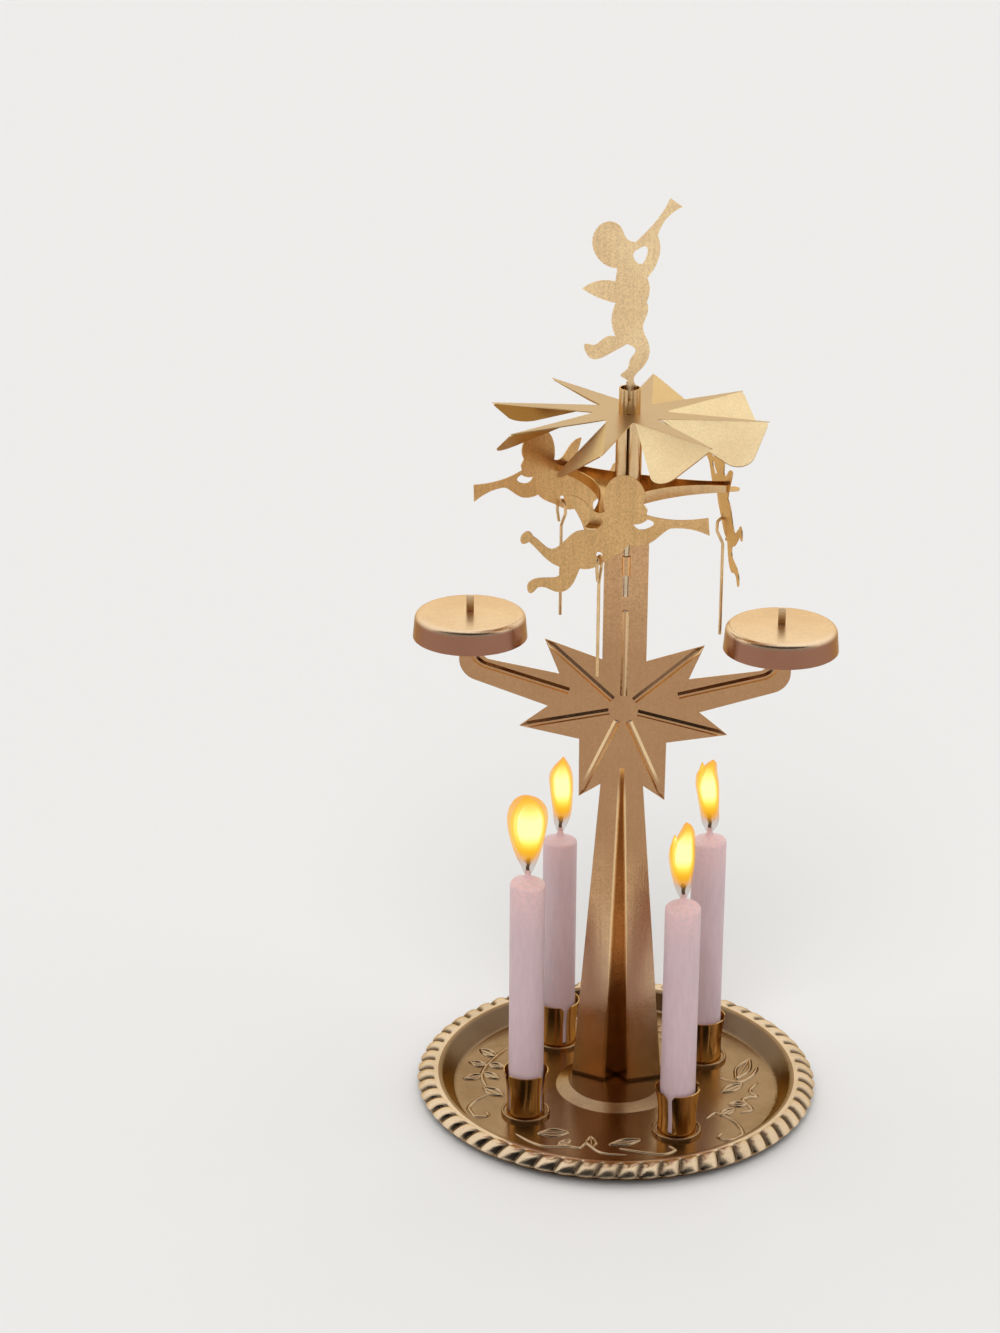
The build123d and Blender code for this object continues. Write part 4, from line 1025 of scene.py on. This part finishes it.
# Size, lowest and highest height share, share of the heart's shift and colours of each shell
SHELLS = (
    (1.0, 0.0, 1.0, 0.0, SHEATH),
    (0.89, 0.12, 0.97, 0.25, BODY),
    (0.77, 0.18, 0.93, 0.6, HALO),
    (0.63, 0.24, 0.88, 1.0, HEART),
)
HEART_SHIFT = {1: 0.2, 2: 0.2, 3: 0.8, 4: 0.4}
print("flame shells:", len(SHELLS))

# %% Flame shapes
FLAME_HEIGHT = {1: 28.6, 2: 30.2, 3: 30.6, 4: 29.2}
# Rows of height share, half width and sideways shift in mm
FLAME_ROWS = {
    1: [(0, 1.3, 0), (0.1, 2.8, 0.1), (0.3, 3.5, -0.3), (0.5, 4.0, -0.9), (0.7, 4.2, -1.5)]
    + [(0.82, 3.6, -1.5), (0.91, 2.2, -0.4), (0.97, 1.1, 0.3), (1, 0, 0.4)],
    2: [(0, 1.2, 0), (0.1, 2.4, 0.2), (0.24, 3.3, 0.6), (0.45, 4.0, 0.4), (0.6, 4.3, 0.2)]
    + [(0.74, 4.3, 0), (0.84, 3.4, 0.2), (0.93, 1.6, 0.6), (1, 0, 0.8)],
    3: [(0, 1.3, 0), (0.1, 2.5, 0.1), (0.22, 4.0, -0.1), (0.35, 5.3, -0.2), (0.48, 6.3, -0.3)]
    + [(0.62, 7.0, -0.3), (0.76, 7.1, -0.2), (0.87, 6.0, -0.2), (0.95, 3.6, -0.6), (1, 0, -1.2)],
    4: [(0, 1.3, 0), (0.1, 2.4, -0.2), (0.28, 3.6, -0.6), (0.45, 4.4, -0.8), (0.58, 4.6, -0.9)]
    + [(0.7, 4.2, -0.6), (0.8, 3.2, 0.3), (0.9, 2.2, 0.8), (0.97, 1.0, 0.6), (1, 0, 0.2)],
}
# Side tongues: lowest and highest height share, half width and sideways shift in mm
FLAME_TONGUES = {1: [(0.6, 0.965, 2.1, -3.4)], 2: [], 3: [], 4: [(0.46, 0.84, 2.0, -3.6)]}
TONGUE_SWELL, TONGUE_FALL = 1.7, 0.8
FLAME_SEAT, FLAME_DEPTH, SHELL_ROUND = 0.55, 0.85, 0.35
SIDEWAYS = np.array(CAMERA_RIGHT[:2]) / np.hypot(*CAMERA_RIGHT[:2])
INWARDS = np.array([-SIDEWAYS[1], SIDEWAYS[0]])
FLAME_AROUND = np.linspace(0, 2 * np.pi, 40, endpoint=False)


def smooth_rows(shares, values):
    """A function that passes through the rows: a cubic between each two, with the slopes at the rows."""
    slopes = np.gradient(values, shares)

    def at(t):
        k = np.clip(np.searchsorted(shares, t, side="right") - 1, 0, len(shares) - 2)
        span = shares[k + 1] - shares[k]
        s = (t - shares[k]) / span
        rise = (2 * s**3 - 3 * s**2 + 1) * values[k] + (3 * s**2 - 2 * s**3) * values[k + 1]
        return rise + span * ((s**3 - 2 * s**2 + s) * slopes[k] + (s**3 - s**2) * slopes[k + 1])

    return at


def tongue(start, end, half, shift):
    """Heights, half width and shift of a side tongue: it swells as a square root and falls as a power."""

    def width_of(t):
        s = np.clip((t - start) / (end - start), 0, 1)
        return half * np.sqrt(s) * (1 - s) ** TONGUE_FALL * TONGUE_SWELL

    return np.linspace(start, end, 24), width_of, lambda t: np.full_like(t, shift)


def flame_parts(number):
    """Shells of one flame: round sections whose half width and shift follow the rows, one in the other."""
    axis, _, top = candle_at(number)
    base = top + TOP_SLOPE + FLAME_SEAT * NECK_RISE
    shares, widths, shifts = np.array(FLAME_ROWS[number]).T
    bodies = [(np.linspace(0, 1, 56), smooth_rows(shares, widths), smooth_rows(shares, shifts))]
    bodies += [tongue(*numbers) for numbers in FLAME_TONGUES[number]]
    grids, paints = [], []
    for size, low, high, offset, colours in SHELLS:
        for t, width_of, shift_of in bodies:
            own = t[0] + (t[-1] - t[0]) * (low + (high - low) * (t - t[0]) / (t[-1] - t[0]))
            way = (own - own[0]) / (own[-1] - own[0])
            rounded = (4 * way * (1 - way)) ** SHELL_ROUND if size < 1 else 1
            half = np.maximum(width_of(own), 0) * size * rounded
            half[[0, -1]] = 0
            shift = shift_of(own) + offset * HEART_SHIFT[number]
            out = half[:, None] * np.cos(FLAME_AROUND)
            deep = FLAME_DEPTH * half[:, None] * np.sin(FLAME_AROUND)
            xy = axis + (shift[:, None] + out)[..., None] * SIDEWAYS + deep[..., None] * INWARDS
            z = (base + FLAME_HEIGHT[number] * own)[:, None] + 0 * out
            grids.append(np.concatenate([xy, z[..., None]], axis=-1))
            paint = np.stack([np.interp(own, colours[:, 0], colours[:, c]) for c in (1, 2, 3, 4)], axis=-1)
            paints.append(np.repeat(paint, len(FLAME_AROUND), axis=0))
    return grids, np.concatenate(paints)


for k in range(1, 5):
    grids, paint = flame_parts(k)
    flame = solid(f"flame_{k}", grids, sharp=180, glow=paint)
    hand_over(flame, gas, f"candle_{k}", "wick")
